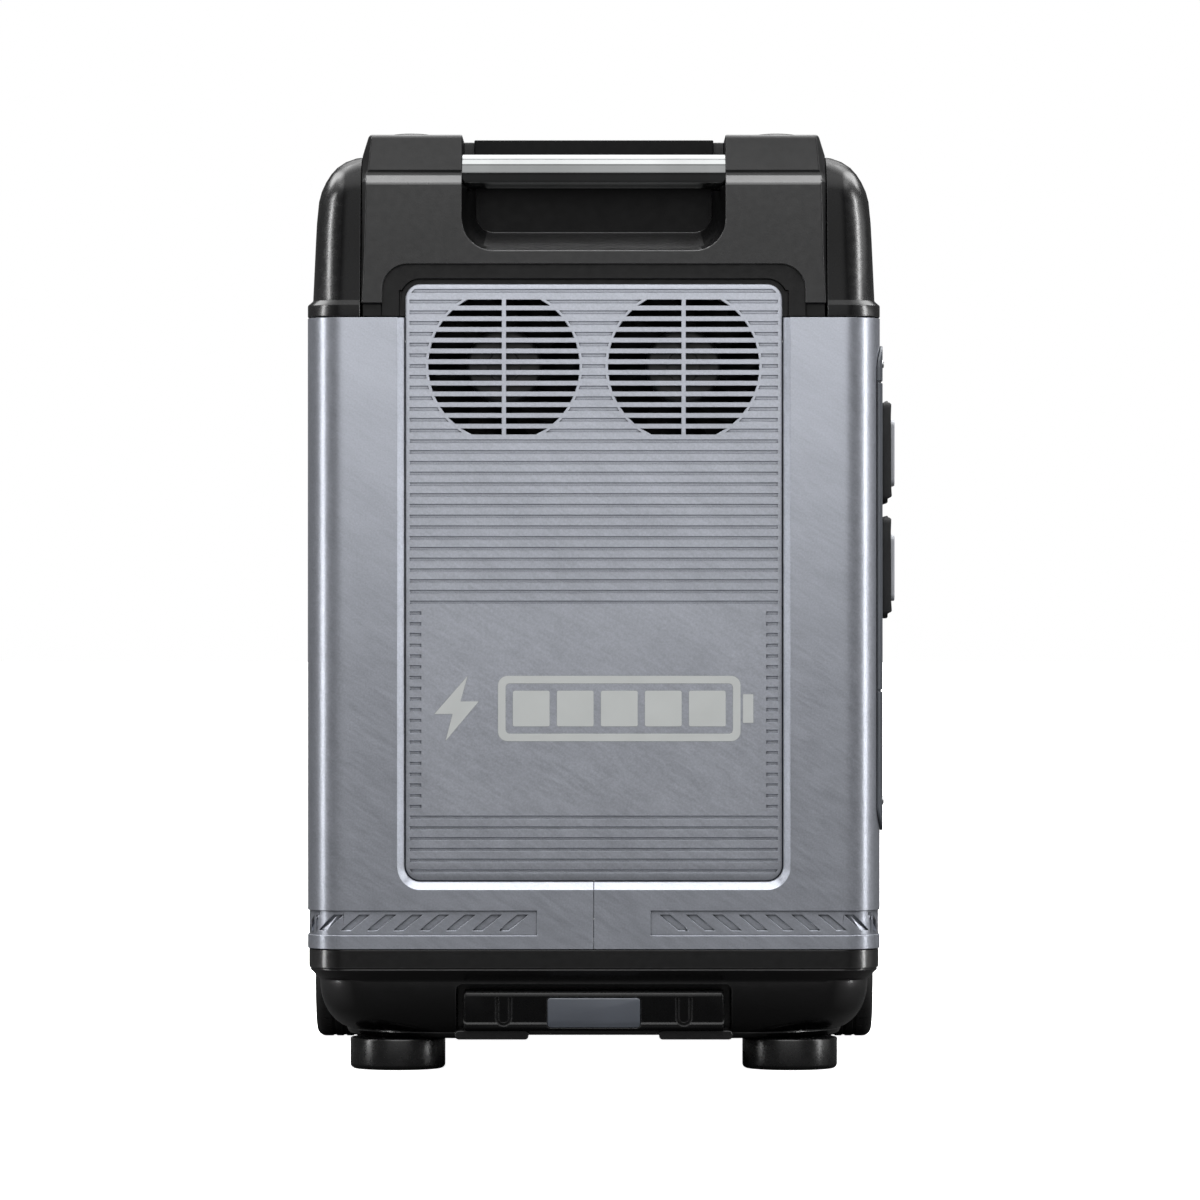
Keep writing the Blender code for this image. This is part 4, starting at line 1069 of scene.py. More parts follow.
def make_release_key():
    """The release button: rounded corners, and a face that leans back below a soft fold."""
    low, high = RELEASE_LOW, RELEASE_HIGH
    key = block("release_key", slab(RELEASE_MIDDLE, RELEASE_HALF, 0.0022, "Y", high.y, low.y, 0.0007, 8))
    fold = low.z + 0.24 * (high.z - low.z)
    foot = low.z - 0.001
    wedge = ((low.y - 0.001, fold), (low.y, fold), (low.y + 0.0011, foot), (low.y - 0.001, foot))
    return cut(key, prism(wedge, "X", low.x - 0.01, high.x + 0.01))


def add_u_groove(bm, centre_x, face):
    """A thin U-shaped groove pressed into the grip's face."""
    half, width = 0.0050, 0.0018
    low, high = 0.0290, 0.0470
    outline = []
    for reach, start, end in ((half, 180, 360), (half - width, 360, 180)):
        bend = arc((centre_x, low + half), reach, start, end, 12)
        outline += [(bend[0][0], high), *bend, (bend[-1][0], high)]
    add_prism(bm, outline, "Y", face - 0.003, face + 0.0016)


def make_trolley():
    grip = block("trolley_grip_bar", made_of(add_bar, grip_section, GRIP_LOW.x, GRIP_HIGH.x, 0.0022))
    gap = 0.0004
    seat = centred_rect(RELEASE_MIDDLE, RELEASE_HALF[0] + gap, RELEASE_HALF[1] + gap, 0.0026)
    cut(grip, prism(seat, "Y", GRIP_LOW.y - 0.01, GRIP_LOW.y + 0.0085))
    grooves = bmesh.new()
    for side in (-1, 1):
        add_u_groove(grooves, side * 0.0565, GRIP_LOW.y)
    cut(grip, grooves)
    finish(grip, GRIP, "trolley_handle", ["trolley_grip"], bevel=0.0003)
    button = make_release_key()
    finish(button, RELEASE, "release_button", ["trolley_release"], angle=40)
    for stage, body in (("guide", "case"), ("middle", "trolley_middle_stage"), ("rod", "trolley_handle")):
        for name in ("front", "rear"):
            make_trolley_tube(f"trolley_{stage}_{name}", body)


def make_trolley_tube(node, body):
    low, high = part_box(node)
    wall = 0.0015
    outline = rounded_rect((low.x, low.z), (high.x, high.z), 0.0032, 8)
    tube = block(node + "_tube", prism(outline, "Y", low.y, high.y))
    bore = rounded_rect((low.x + wall, low.z + wall), (high.x - wall, high.z - wall), 0.0018, 8)
    cut(tube, prism(bore, "Y", low.y - 0.01, high.y + 0.01))
    finish(tube, ALLOY, body, [node], bevel=0.0003)


# Top cover and yokes ---------------------------------------------------------------------------
def cover_rings(profile):
    rings = []
    for inset, z in profile:
        radius = max(CORNER_R - 0.5 * inset, 0.008)
        half_w, half_l = HALF_W - inset, HALF_L - inset
        outline = rounded_rect((-half_w, -half_l), (half_w, half_l), radius, 16)
        rings.append([Vector((x, y, z)) for x, y in outline])
    return rings


def add_notch(bm, end):
    """Where a yoke sits in the cover, with sides that draw in towards the top."""
    right = [(0.1466, 0.45), (0.1460, 0.562), (0.1456, 0.60)]
    outline = right + [(-x, z) for x, z in reversed(right)]
    low, high = sorted((end * (HALF_L + PAST), -end * (YOKE_HIGH.y + GAP)))
    add_prism(bm, outline, "Y", low, high)


def deck_line():
    """The cutter of the line that frames the deck's grooves."""
    outer = centred_rect((0, 0), DECK_HALF[0] + 0.006, DECK_HALF[1] + 0.006, 0.010)
    ring = block("ring", prism(outer, "Z", 0.5750, 0.58))
    inner = centred_rect((0, 0), DECK_HALF[0] + 0.0042, DECK_HALF[1] + 0.0042, 0.0084)
    cut(ring, prism(inner, "Z", 0.57, 0.59))
    return taken(ring)


def deck_grooves():
    """Anti-slip grooves across the deck, each a little narrower at its bottom."""
    rows = 18
    half_x, half_y = DECK_HALF
    grooves = bmesh.new()
    for i in range(rows):
        y = -half_y + (i + 0.5) * 2 * half_y / rows
        rings = []
        for z, grow, half_w in ((0.5766, 0.0004, 0.0034), (0.5749, -0.0004, 0.0024)):
            outline = centred_rect((0, y), half_x + grow, half_w, half_w - 0.0001, 4)
            rings.append([Vector((a, b, z)) for a, b in outline])
        add_loft(grooves, rings)
    return grooves


def make_top_cover():
    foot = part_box("top_cover")[0].z
    profile = [(0.0004, foot), (0.0, foot + 0.0004), (0.0, 0.4806), (0.0003, 0.4812), (0.0030, 0.4836)]
    profile += [(0.0033, 0.4842), (0.0050, 0.5215), (0.0056, 0.5330), (0.0069, 0.5465), (0.0086, 0.5530)]
    profile += [(0.0113, 0.5590), (0.0145, 0.5642), (0.0182, 0.5684), (0.0236, 0.5722), (0.0300, 0.5747)]
    profile += [(0.0360, 0.5757), (0.0420, 0.5760)]
    cover = block("top_cover_skin", made_of(add_loft, cover_rings(profile)))
    hollow = ((0.0064, 0.4600), (0.0082, 0.5215), (0.0105, 0.5440), (0.0215, 0.5640), (0.0420, 0.5725))
    cut(cover, made_of(add_loft, cover_rings(hollow)))
    for end in (-1, 1):
        cut(cover, made_of(add_notch, end))
    cut(cover, deck_line())
    cut(cover, deck_grooves())
    finish(cover, CHEEK, nodes=["top_cover"], bevel=0.0004, angle=40)


def yoke_face_profile():
    """The yoke seen from the side: an upright apron, a rolled ridge, and a face that leans back above it."""
    face = -HALF_L + YOKE_FACE
    back = YOKE_HIGH.y
    lean = 32
    roll = 0.004
    profile = [(face, 0.44)] + arc((face + roll, 0.5558), roll, 180, 180 - lean, 6)
    profile += [(-0.2163, 0.5620), (-0.2158, 0.5632), (-0.2160, 0.5646), (-0.2166, 0.5652)]
    profile.append((-0.2144, POST_TOP - 0.0036))
    profile += arc((-0.2114, POST_TOP - 0.0030), 0.0030, 174, 90, 6)
    profile += arc((back - 0.004, POST_TOP - 0.004), 0.004, 90, 0, 6)
    return profile + [(back, 0.44)]


def yoke_outline():
    """The yoke as the end view shows it: legs, arch and posts, with the pocket still closed."""
    right = [(ARCH_HALF_W, LEG_BOTTOM), (0.1457, LEG_BOTTOM), (0.1452, 0.562), (0.1450, 0.5746)]
    right += arc((0.1386, POST_TOP - 0.003), 0.003, 20, 90, 6)
    left = [(-x, z) for x, z in reversed(right)]
    arch = rounded_rect((-ARCH_HALF_W, 0), (ARCH_HALF_W, ARCH_TOP), 0.016)
    arch = [point for point in arch if point[1] > 0.1]
    return right + left + arch[::-1]


def post_taper(side):
    """The cutter that draws a post's outer edge in towards its face."""
    rings = []
    wide = 0.1466
    for z, edge, face, depth in ((0.478, 0.1453, -0.2195, 0.003), (0.558, 0.1424, -0.2195, 0.006),
                                 (0.564, 0.1416, -0.2165, 0.007), (0.600, 0.1384, -0.2130, 0.009)):
        ahead = 0.004
        start = edge - (wide - edge) * ahead / depth
        corners = ((start, face - ahead), (0.150, face - ahead), (0.150, face + depth), (wide, face + depth))
        rings.append([Vector((side * a, b, z)) for a, b in corners])
    taper = made_of(add_loft, rings)
    bmesh.ops.triangulate(taper, faces=taper.faces)
    return taper


def pocket_cutter():
    """The hand pocket: its walls and its floor draw in towards the back wall."""
    rings = []
    ceiling = 0.5762
    for half, floor, radius, y in (
        (POST_IN, POCKET_FLOOR, POCKET_R, -HALF_L - PAST),
        (POST_IN, POCKET_FLOOR, POCKET_R, -HALF_L + 0.004),
        (0.0800, 0.5172, 0.0175, -HALF_L + 0.010),
        (0.0750, 0.5288, 0.0120, POCKET_BACK),
    ):
        outline = [(half, ceiling), (-half, ceiling)]
        outline += arc((radius - half, floor + radius), radius, 180, 270)
        outline += arc((half - radius, floor + radius), radius, 270, 360)
        rings.append([Vector((x, y, z)) for x, z in outline])
    pocket = made_of(add_loft, rings)
    bmesh.ops.triangulate(pocket, faces=pocket.faces)
    return pocket


def open_back_wall(yoke):
    """Clear the space between the posts above the pocket, and set the wall behind it back at both ends."""
    back = POCKET_BACK
    cut(yoke, box((-POST_IN, -HALF_L - PAST, 0.5560), (POST_IN, back - 0.0007, 0.62)))
    cut(yoke, box((-POST_IN, back - 0.001, BACK_WALL_TOP), (POST_IN, YOKE_HIGH.y + PAST, 0.62)))
    for side in (-1, 1):
        low_x, high_x = sorted((side * 0.0758, side * POST_IN))
        cut(yoke, box((low_x, back - 0.001, 0.5560), (high_x, YOKE_HIGH.y - 0.0015, 0.62)))


def make_yokes():
    yoke = block("handle_yoke_near", prism(yoke_outline(), "Y", -HALF_L - 0.001, YOKE_HIGH.y + 0.001))
    keep(yoke, prism(yoke_face_profile(), "X", -HALF_W, HALF_W))
    for side in (-1, 1):
        cut(yoke, post_taper(side))
    cut(yoke, pocket_cutter())
    open_back_wall(yoke)
    cut(yoke, cylinder("X", TUBE_CENTRE, TUBE_R + GAP, TUBE_LOW.x - GAP, TUBE_HIGH.x + GAP))
    for name in ("rear", "front"):
        node = "near_post_cap_" + name
        centre, radius = round_plan(node)
        cut(yoke, cylinder("Z", centre, radius + GAP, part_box(node)[0].z - GAP, 0.62))
    merge_flats(yoke)
    far = turned_copy(yoke, "handle_yoke_far")
    for obj, node, end in ((yoke, "near_handle_yoke", -1), (far, "far_handle_yoke", 1)):
        finish(obj, BLACK, nodes=[node], bevel=0.0007, segments=3, angle=38)
        paint_pocket_shade_and_highlight(obj, end)
    make_yoke_frames()
    make_grip_tubes()


def make_grip_tubes():
    tube = block("grip_tube_near", cylinder("X", TUBE_CENTRE, TUBE_R, TUBE_LOW.x, TUBE_HIGH.x, 128))
    cut(tube, cylinder("X", TUBE_CENTRE, TUBE_R - 0.002, TUBE_LOW.x - 0.01, TUBE_HIGH.x + 0.01, 64))
    far = turned_copy(tube, "grip_tube_far")
    finish(tube, CHROME, nodes=["near_grip_tube"])
    finish(far, CHROME, nodes=["far_grip_tube"])


def merge_flats(obj):
    """Join the coplanar faces that cutting leaves, so that each flat is one face."""
    bm = bmesh.new()
    bm.from_mesh(obj.data)
    bmesh.ops.dissolve_limit(bm, angle_limit=math.radians(0.4), verts=bm.verts, edges=bm.edges)
    bm.to_mesh(obj.data)
    bm.free()


def paint_pocket_shade_and_highlight(yoke, end):
    """Painted shade inside the hand pocket, a darker black than the yoke; a painted highlight on its rim and
    the ridge, a paler black.
    """
    yoke.data.materials.append(POCKET_SHADE)
    yoke.data.materials.append(RIDGE_HIGHLIGHT)
    for face in yoke.data.polygons:
        x, y, z = face.center
        depth = HALF_L - end * y
        inside = abs(x) < POST_IN + 0.0002 and POCKET_FLOOR - 0.001 < z < 0.5762
        slope = face.normal.z > 0.9 and z < 0.53
        if inside and 0.0035 < depth < HALF_L + POCKET_BACK + 0.0005:
            face.material_index = 0 if slope else 1
        rolled = 0.5560 < z < 0.5622 and 0.1 < face.normal.z < 0.87
        rim = inside and depth <= 0.0035
        if depth < 0.005 and (rolled or rim):
            face.material_index = 2


def make_yoke_frames():
    """The sunk frame between the yoke's arch and the end panel, its web, and the feet of its legs."""
    web_y = (-0.2117, -0.2085)
    step_x, step_z = ARCH_HALF_W + 0.002, LEG_BOTTOM + 0.003
    right = [(0.1452, 0.4738), (0.1452, step_z), (step_x, step_z), (step_x, ARCH_TOP + 0.004)]
    outer = right + [(-x, z) for x, z in reversed(right)]
    ring = block("yoke_frame_near", prism(outer, "Y", -0.2155, web_y[1]))
    cut(ring, prism(panel_outline(0.0034, 0, PANEL_Z[1] + 0.0034), "Y", -HALF_L - PAST, web_y[0] + 0.0004))
    holes = bmesh.new()
    for side in (-1, 1):
        add_turned(holes, ((0.0495, -0.23), (0.0495, -0.20)), "Y", (side * FAN_X, FAN_Z))
    cut(ring, holes)
    cut(ring, box((-0.1220, -0.2175, 0.46), (0.1220, web_y[0] + 0.0004, 0.49)))
    # The cut-out leaves the two legs' feet set back from the face.
    for side in (-1, 1):
        low_x, high_x = sorted((side * (ARCH_HALF_W + 0.0005), side * 0.1470))
        cut(ring, box((low_x, -0.2190, 0.47), (high_x, -0.2120, LEG_BOTTOM - GAP)))
    far = turned_copy(ring, "yoke_frame_far")
    # The darker black here is painted shade for the sunk frame.
    finish(ring, RECESS_SHADE, bevel=0.0004)
    finish(far, RECESS_SHADE, bevel=0.0004)


def make_caps():
    for node in [f"{end}_post_cap_{name}" for end in ("near", "far") for name in ("front", "rear")]:
        low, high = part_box(node)
        centre, radius = round_plan(node)
        rise = high.z - low.z
        profile = [(radius, low.z)]
        for i in range(10):
            angle = math.radians(9 * i)
            profile.append((radius * math.cos(angle), low.z + rise * (0.55 + 0.45 * math.sin(angle))))
        cap = block(node + "_dome", lathe(profile, "Z", centre, 96))
        finish(cap, HULL, nodes=[node], angle=50)


# Front panel -----------------------------------------------------------------------------------
def plan_outline(grow):
    """The body's outline seen from above, grown by some amount."""
    corner = (HALF_W + grow, HALF_L + grow)
    return rounded_rect((-HALF_W - grow, -HALF_L - grow), corner, CORNER_R + grow, 20)


def hole_for(node, radius, low, high):
    """The cutter of a round-cornered hole that fits a node with a small gap."""
    return prism(node_outline(node, -GAP, -GAP, radius, 6), "X", low, high)


def frame_line(centre, half_a, half_b, radius, width, low, high):
    """A closed groove of the given width, as a mesh to cut with."""
    ring = block("ring", prism(centred_rect(centre, half_a, half_b, radius), "X", low, high))
    inner = centred_rect(centre, half_a - width, half_b - width, max(radius - width, 0.0003))
    cut(ring, prism(inner, "X", low - 0.01, high + 0.01))
    return taken(ring)


def front_panel_blank(face):
    """The panel's moulding: it wraps the body's corners, and a plug behind it fills the shell's window."""
    low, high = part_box("front_panel")
    skin = block("front_panel_skin", prism(plan_outline(face - HALF_W), "Z", low.z, high.z))
    keep(skin, prism(node_outline("front_panel", 0, 0, 0.015), "X", 0.150, face + PAST))
    behind = block("behind", prism(plan_outline(GAP), "Z", 0.1, 0.5))
    cut(behind, prism(node_outline("front_panel", 0.0143, 0.0123, 0.0097), "X", 0.10, face + PAST))
    cut(skin, taken(behind))
    cut(skin, prism(centred_rect((0, 0.3035), 0.180, 0.130, 0.01), "X", 0.10, face - 0.0045))
    return skin


def cut_front_openings(skin, face):
    """Openings for sockets, keys, ports and display, with the fine lines pressed round some of them."""
    for name in SOCKET_NAMES:
        cut(skin, hole_for("socket_" + name, 0.0033, 0.15, face + PAST))
        centre = middle_of("socket_" + name)
        cut(skin, frame_line(centre, 0.0345, 0.0345, 0.0050, 0.0007, face - 0.0005, face + 0.01))
    for name in KEYS:
        centre, radius = middle_of(name), half_size(name)[0]
        cut(skin, cylinder("X", centre, radius + GAP, 0.15, face + PAST))
        cut(skin, lathe(((radius + 0.0006, face - 0.0008), (radius + 0.0022, face + 0.0001)), "X", centre))
    cut(skin, hole_for("usb_port_block", 0.002, 0.15, face + PAST))
    cut(skin, hole_for("display_lens", 0.006, face - 0.0026, face + PAST))
    centre = middle_of("display_lens")
    half_y, half_z = half_size("display_lens")
    cut(skin, prism(centred_rect(centre, half_y - 0.005, half_z - 0.005, 0.003), "X", 0.15, face))
    half = (half_y + 0.0042, half_z + 0.0042)
    cut(skin, frame_line(centre, *half, 0.0095, 0.0008, face - 0.0006, face + 0.01))


def cut_divider(skin, face, middle):
    """One of the two grooves that run right across the face and round its ends, and divide it in three."""
    low, high = middle - 0.0007, middle + 0.0007
    cut(skin, box((face - 0.0009, -0.21, low), (face + 0.01, 0.21, high)))
    groove = block("groove", prism(plan_outline(0.002), "Z", low, high))
    cut(groove, prism(plan_outline(0.0008), "Z", middle - 0.01, middle + 0.01))
    keep(groove, box((0.170, -0.24, 0.1), (0.24, 0.24, 0.5)))
    cut(skin, taken(groove))


def make_front_panel():
    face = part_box("front_panel")[1].x
    skin = front_panel_blank(face)
    cut_front_openings(skin, face)
    for middle in (0.433, 0.239):
        cut_divider(skin, face, middle)
    even_flats(finish(skin, FRONT, nodes=["front_panel"], bevel=0.0004))
    for screw_y in (-0.196, 0.196):
        for screw_z in (0.170, 0.4445):
            make_screw("front_screw", (face - 0.0001, screw_y, screw_z), 1)


def make_screw(name, at, sign):
    """A small cross-head screw along X, whose head stands a little out of the face it holds."""
    along, *centre = at
    radius = 0.0026
    profile = [(radius, along - sign * 0.0006), (radius, along + sign * 0.0003)]
    profile.append((radius - 0.0005, along + sign * 0.0008))
    head = block(name, lathe(profile, "X", centre, 32))
    for long, thin in ((0.0028, 0.0007), (0.0007, 0.0028)):
        slot = centred_rect(centre, long / 2, thin / 2, 0.0001, 1)
        cut(head, prism(slot, "X", *sorted((along, along + sign * 0.002))))
    return finish(head, STEEL, bevel=0.0001)


def make_socket_body(node, y, z, face):
    """A plate with a round well, a ring about its mouth, two bores and two side notches."""
    half = half_size(node)[0]
    plate = block(node + "_plate", slab((y, z), (half, half), 0.003, "X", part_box(node)[0].x, face, 0.0006))
    well = [(0.0185, face - 0.0175), (0.0195, face - 0.0168)]
    well += [(0.0195, face - 0.0012), (0.0208, face + 0.0002)]
    ring = ((0.0225, face - 0.005), (0.0225, face - 0.0001), (0.0222, face))
    cut(plate, lathe(well, "X", (y, z)))
    cut(plate, lathe(((0.0237, face - 0.0006), (0.0237, face + 0.01)), "X", (y, z)))
    join(plate, lathe(ring, "X", (y, z)))
    cut(plate, lathe(well, "X", (y, z)))
    holes = bmesh.new()
    bore = ((0.0025, face - 0.027), (0.0025, face - 0.01))
    for side in (-1, 1):
        add_turned(holes, bore, "X", (y + side * CONTACT_Y, z), 24)
    cut(plate, holes)
    for side in (1, -1):
        low_z, high_z = sorted((z + side * 0.0170, z + side * 0.0207))
        cut(plate, box((face - 0.0172, y - 0.0022, low_z), (face - 0.0020, y + 0.0022, high_z)))
    finish(plate, SOCKET, nodes=[node], bevel=0.0002)


def make_contacts(node, y, z, face):
    """Two brass sleeves in the bores, and two flat springs in the notches."""
    metal = bmesh.new()
    sleeve = ((0.0024, face - 0.026), (0.0024, face - 0.0182), (0.0021, face - 0.0179))
    for side in (-1, 1):
        add_turned(metal, sleeve, "X", (y + side * CONTACT_Y, z), 24)
        low_z, high_z = sorted((z + side * 0.0186, z + side * 0.0200))
        add_box(metal, (face - 0.0168, y - 0.0017, low_z), (face - 0.0040, y + 0.0017, high_z))
    contacts = block(node + "_contacts", metal)
    bores = bmesh.new()
    for side in (-1, 1):
        add_turned(bores, ((0.0014, face - 0.024), (0.0014, face)), "X", (y + side * CONTACT_Y, z), 24)
    cut(contacts, bores)
    finish(contacts, BRASS, bevel=0.0001)


def make_sockets():
    """Round-well outlets with brass contacts. Their shape follows no one country's plug."""
    for name in SOCKET_NAMES:
        node = "socket_" + name
        y, z = middle_of(node)
        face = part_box(node)[1].x
        make_socket_body(node, y, z, face)
        make_contacts(node, y, z, face)


def cover_blank(node, joint, face):
    """The cover seen from the side: a rolled top about its hinge, a leaning face and a lip at its foot."""
    low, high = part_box(node)
    barrel = high.z - joint[2]
    back = joint[0] - barrel
    side_view = arc((joint[0], joint[2]), barrel, 180, 90, 8)
    side_view += arc((face - 0.0024, high.z - 0.0032), 0.0022, 88, 20, 6)
    side_view += [(face - 0.0006, high.z - 0.010), (face - 0.0004, low.z + 0.012)]
    side_view.append((face - 0.0002, low.z + 0.008))
    side_view += arc((face - 0.0014, low.z + 0.0052), 0.0014, 0, -70, 5)
    side_view += [(face - 0.0026, low.z + 0.0030), (face - 0.0026, low.z + 0.0008), (face - 0.0034, low.z)]
    side_view.append((back, low.z))
    skin = block(node + "_skin", prism(side_view, "Y", low.y, high.y))
    return keep(skin, prism(node_outline(node, 0, 0, 0.0048, 8), "X", back - 0.01, face + 0.01))


def hollow_cover(skin, centre, back):
    """Relief over the socket, with the ring that seals its well."""
    cut(skin, cylinder("X", centre, 0.0292, back - 0.01, back + 0.0026))
    join(skin, lathe(((0.0181, back + 0.0004), (0.0185, back), (0.0185, back + 0.004)), "X", centre))
    cut(skin, cylinder("X", centre, 0.0165, back - 0.01, back + 0.0026))


def make_covers():
    """Hinged covers with a raised plate, a pull to lift them by and hinge knuckles at the top."""
    for name in SOCKET_NAMES:
        node, body = "socket_cover_" + name, "cover_" + name
        low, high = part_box(node)
        joint = JOINTS[f"cover_{name}_hinge"]["pos_m"]
        face = high.x - 0.0038
        skin = cover_blank(node, joint, face)
        y = (low.y + high.y) / 2
        field = (y, (low.z + high.z) / 2 - 0.0005)
        cut(skin, frame_line(field, 0.0275, 0.0220, 0.0050, 0.0009, face - 0.0010, face + 0.01))
        back = joint[0] - (high.z - joint[2])
        hollow_cover(skin, (y, middle_of("socket_" + name)[1]), back)
        for side in (-1, 1):
            gap_y = y + side * 0.0185
            gap_low = (back - 0.01, gap_y - 0.0004, joint[2] - 0.0001)
            cut(skin, box(gap_low, (face - 0.0052, gap_y + 0.0004, high.z + 0.01)))
        finish(skin, COVER, body, [node], bevel=0.0003)
        sunk = face - 0.0006
        pull = slab((y, low.z + 0.0068), (0.0110, 0.0008), 0.0007, "X", sunk, face - 0.00002, 0.0002)
        finish(block(node + "_pull", pull), COVER, body)
        plate = slab(field, (0.0264, 0.0209), 0.0042, "X", sunk, high.x - 0.0018, 0.0008, 8)
        finish(block(node + "_plate", plate), PLATE, body)


def icon_bolt(centre, size):
    """Outline of a lightning bolt."""
    y, z = centre
    shape = ((0.15, 1.0), (-0.55, -0.15), (-0.05, -0.15), (-0.15, -1.0), (0.55, 0.2), (0.05, 0.2))
    return [(y + a * size, z + b * size) for a, b in shape]


def make_gauge(centre, back, front):
    """A ring of 24 lit segments."""
    ring = block("gauge_ring", lathe(((0.0185, back), (0.0185, front)), "X", centre, 96))
    cut(ring, lathe(((0.0158, back - 0.01), (0.0158, front + 0.01)), "X", centre, 96))
    ticks = bmesh.new()
    for angle in range(0, 360, 15):
        tick = box((back - 0.01, -0.0004, 0.014), (front + 0.01, 0.0004, 0.020))
        turn = Matrix.Rotation(math.radians(angle), 4, "X")
        add_moved(ticks, tick, Matrix.Translation((0, *centre)) @ turn)
    cut(ring, ticks)
    finish(ring, LIT_GREEN)


def make_display():
    low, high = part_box("display_lens")
    y, z = middle_of("display_lens")
    glass = slab((y, z), half_size("display_lens"), 0.0057, "X", low.x, high.x, 0.0004, 8)
    finish(block("display_lens_glass", glass), GLASS, nodes=["display_lens"])
    depth = (high.x - 0.0001, high.x + 0.00006)
    gauge = (y - 0.034, z)
    make_gauge(gauge, *depth)
    lit = bmesh.new()
    add_prism(lit, icon_bolt(gauge, 0.0085), "X", *depth)
    for i in range(5):
        middle = (y + 0.022 + 0.0085 * i, z + 0.014)
        add_prism(lit, centred_rect(middle, 0.0032, 0.0062, 0.0007, 3), "X", *depth)
    for i, width in enumerate((0.024, 0.017, 0.021)):
        row_z = z - 0.006 - 0.0075 * i
        middle = (y + 0.018 + width / 2, row_z)
        add_prism(lit, centred_rect(middle, width / 2, 0.0013, 0.0012, 3), "X", *depth)
        add_turned(lit, [(0.0017, along) for along in depth], "X", (y + 0.010, row_z), 24)
    finish(block("display_bars", lit), LIT)


def make_usb_metal(openings, z, face):
    """A steel shell and a tongue in each USB opening."""
    shells, tongues = bmesh.new(), bmesh.new()
    for y, half_y, half_z in openings:
        wide = half_y > USB_WIDE
        radius = 0.0004 if wide else half_z - 0.0001
        outer = centred_rect((y, z), half_y - 0.00005, half_z - 0.00005, radius)
        inner = centred_rect((y, z), half_y - 0.0004, half_z - 0.0004, radius * 0.8)
        shell = block("shell", prism(outer, "X", face - 0.0115, face - 0.0004))
        cut(shell, prism(inner, "X", face - 0.011, face + 0.01))
        shells.from_mesh(shell.data)
        bpy.data.objects.remove(shell)
        up, thick = (0.0010, 0.0009) if wide else (0.0, 0.00035)
        half_tongue = half_y - 0.0012
        low = (face - 0.0112, y - half_tongue, z + up - thick)
        add_box(tongues, low, (face - 0.0015, y + half_tongue, z + up + thick))
    finish(block("usb_shells", shells), STEEL)
    finish(block("usb_tongues", tongues), BUTTON)


def make_car_metal(centre, radius, face):
    """The steel sleeve of the car socket, and the contact at its bottom."""
    outer = ((radius - 0.0001, face - 0.0170), (radius - 0.0001, face - 0.0015))
    inner = ((radius - 0.0007, face - 0.0160), (radius - 0.0007, face))
    sleeve = block("car_sleeve", lathe(outer, "X", centre))
    cut(sleeve, lathe(inner, "X", centre))
    finish(sleeve, STEEL, bevel=0.0002)
    pin = ((0.0030, face - 0.0165), (0.0030, face - 0.0140), (0.0018, face - 0.0128))
    finish(block("car_contact", lathe(pin, "X", centre, 32)), BRASS)


def make_ports():
    """Four USB openings and a car socket, in one block."""
    low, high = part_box("usb_port_block")
    y, z = middle_of("usb_port_block")
    face = high.x
    blank = slab((y, z), half_size("usb_port_block"), 0.0018, "X", low.x, face, 0.0005)
    plate = block("usb_port_plate", blank)
    car_y, car_r = 0.101, 0.0105
    openings = [(port_y, 0.0068, 0.0028) for port_y in (0.008, 0.030)]
    openings += [(port_y, 0.0046, 0.0018) for port_y in (0.052, 0.070)]
    holes = bmesh.new()
    for port_y, half_y, half_z in openings:
        radius = 0.0004 if half_y > USB_WIDE else half_z - 0.00005
        add_prism(holes, centred_rect((port_y, z), half_y, half_z, radius), "X", face - 0.012, face + 0.01)
    bore = ((car_r, face - 0.0178), (car_r, face - 0.0012), (car_r + 0.0013, face + 0.0001))
    add_turned(holes, bore, "X", (car_y, z))
    cut(plate, holes)
    for port_y, half_y, half_z in openings:
        half = (half_y + 0.0022, half_z + 0.0022)
        cut(plate, frame_line((port_y, z), *half, 0.0016, 0.0005, face - 0.0004, face + 0.01))
    finish(plate, SOCKET, nodes=["usb_port_block"], bevel=0.0002)
    make_usb_metal(openings, z, face)
    make_car_metal((car_y, z), car_r, face)


def add_key_sign(ring, name, y, z, radius, under, top):
    """What stands in a key's ring: a stroke through it for power, two lines for AC, a dot for DC."""
    if name == "power_button":
        cut(ring, box((under - 0.01, y - radius * 0.36, z), (top + 0.01, y + radius * 0.36, z + 0.02)))
        low = (under, y - radius * 0.11, z + radius * 0.1)
        join(ring, box(low, (top, y + radius * 0.11, z + radius * 1.15)))
    elif name == "ac_button":
        for side in (-1, 1):
            line_y = y + side * radius * 0.3
            low = (under, line_y - 0.0003, z - radius * 0.3)
            join(ring, box(low, (top, line_y + 0.0003, z + radius * 0.3)))
    else:
        join(ring, cylinder("X", (y, z), radius * 0.34, under, top, 32))


def make_keys():
    for name in KEYS:
        low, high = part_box(name)
        y, z = middle_of(name)
        radius = half_size(name)[0]
        body = name.replace("button", "key")
        face = high.x
        dish = [(share * radius, face - 0.0007 + 0.0005 * share**2) for share in (0.05, 0.3, 0.5, 0.7, 0.85)]
        rim = arc((radius - 0.0009, face - 0.0009), 0.0009, 90, 0, 6)
        key = block(name + "_cap", lathe([*dish, *rim, (radius, low.x)], "X", (y, z), 96))
        finish(key, BUTTON, body, [name], angle=50)
        top, under = face - 0.00035, face - 0.0012
        mark_r = radius * 0.42
        ring = block(name + "_mark", cylinder("X", (y, z), mark_r, under, top, 48))
        cut(ring, cylinder("X", (y, z), mark_r * 0.78, under - 0.01, top + 0.01, 48))
        add_key_sign(ring, name, y, z, mark_r, under, top)
        finish(ring, LIT if name == "power_button" else PRINT, body)


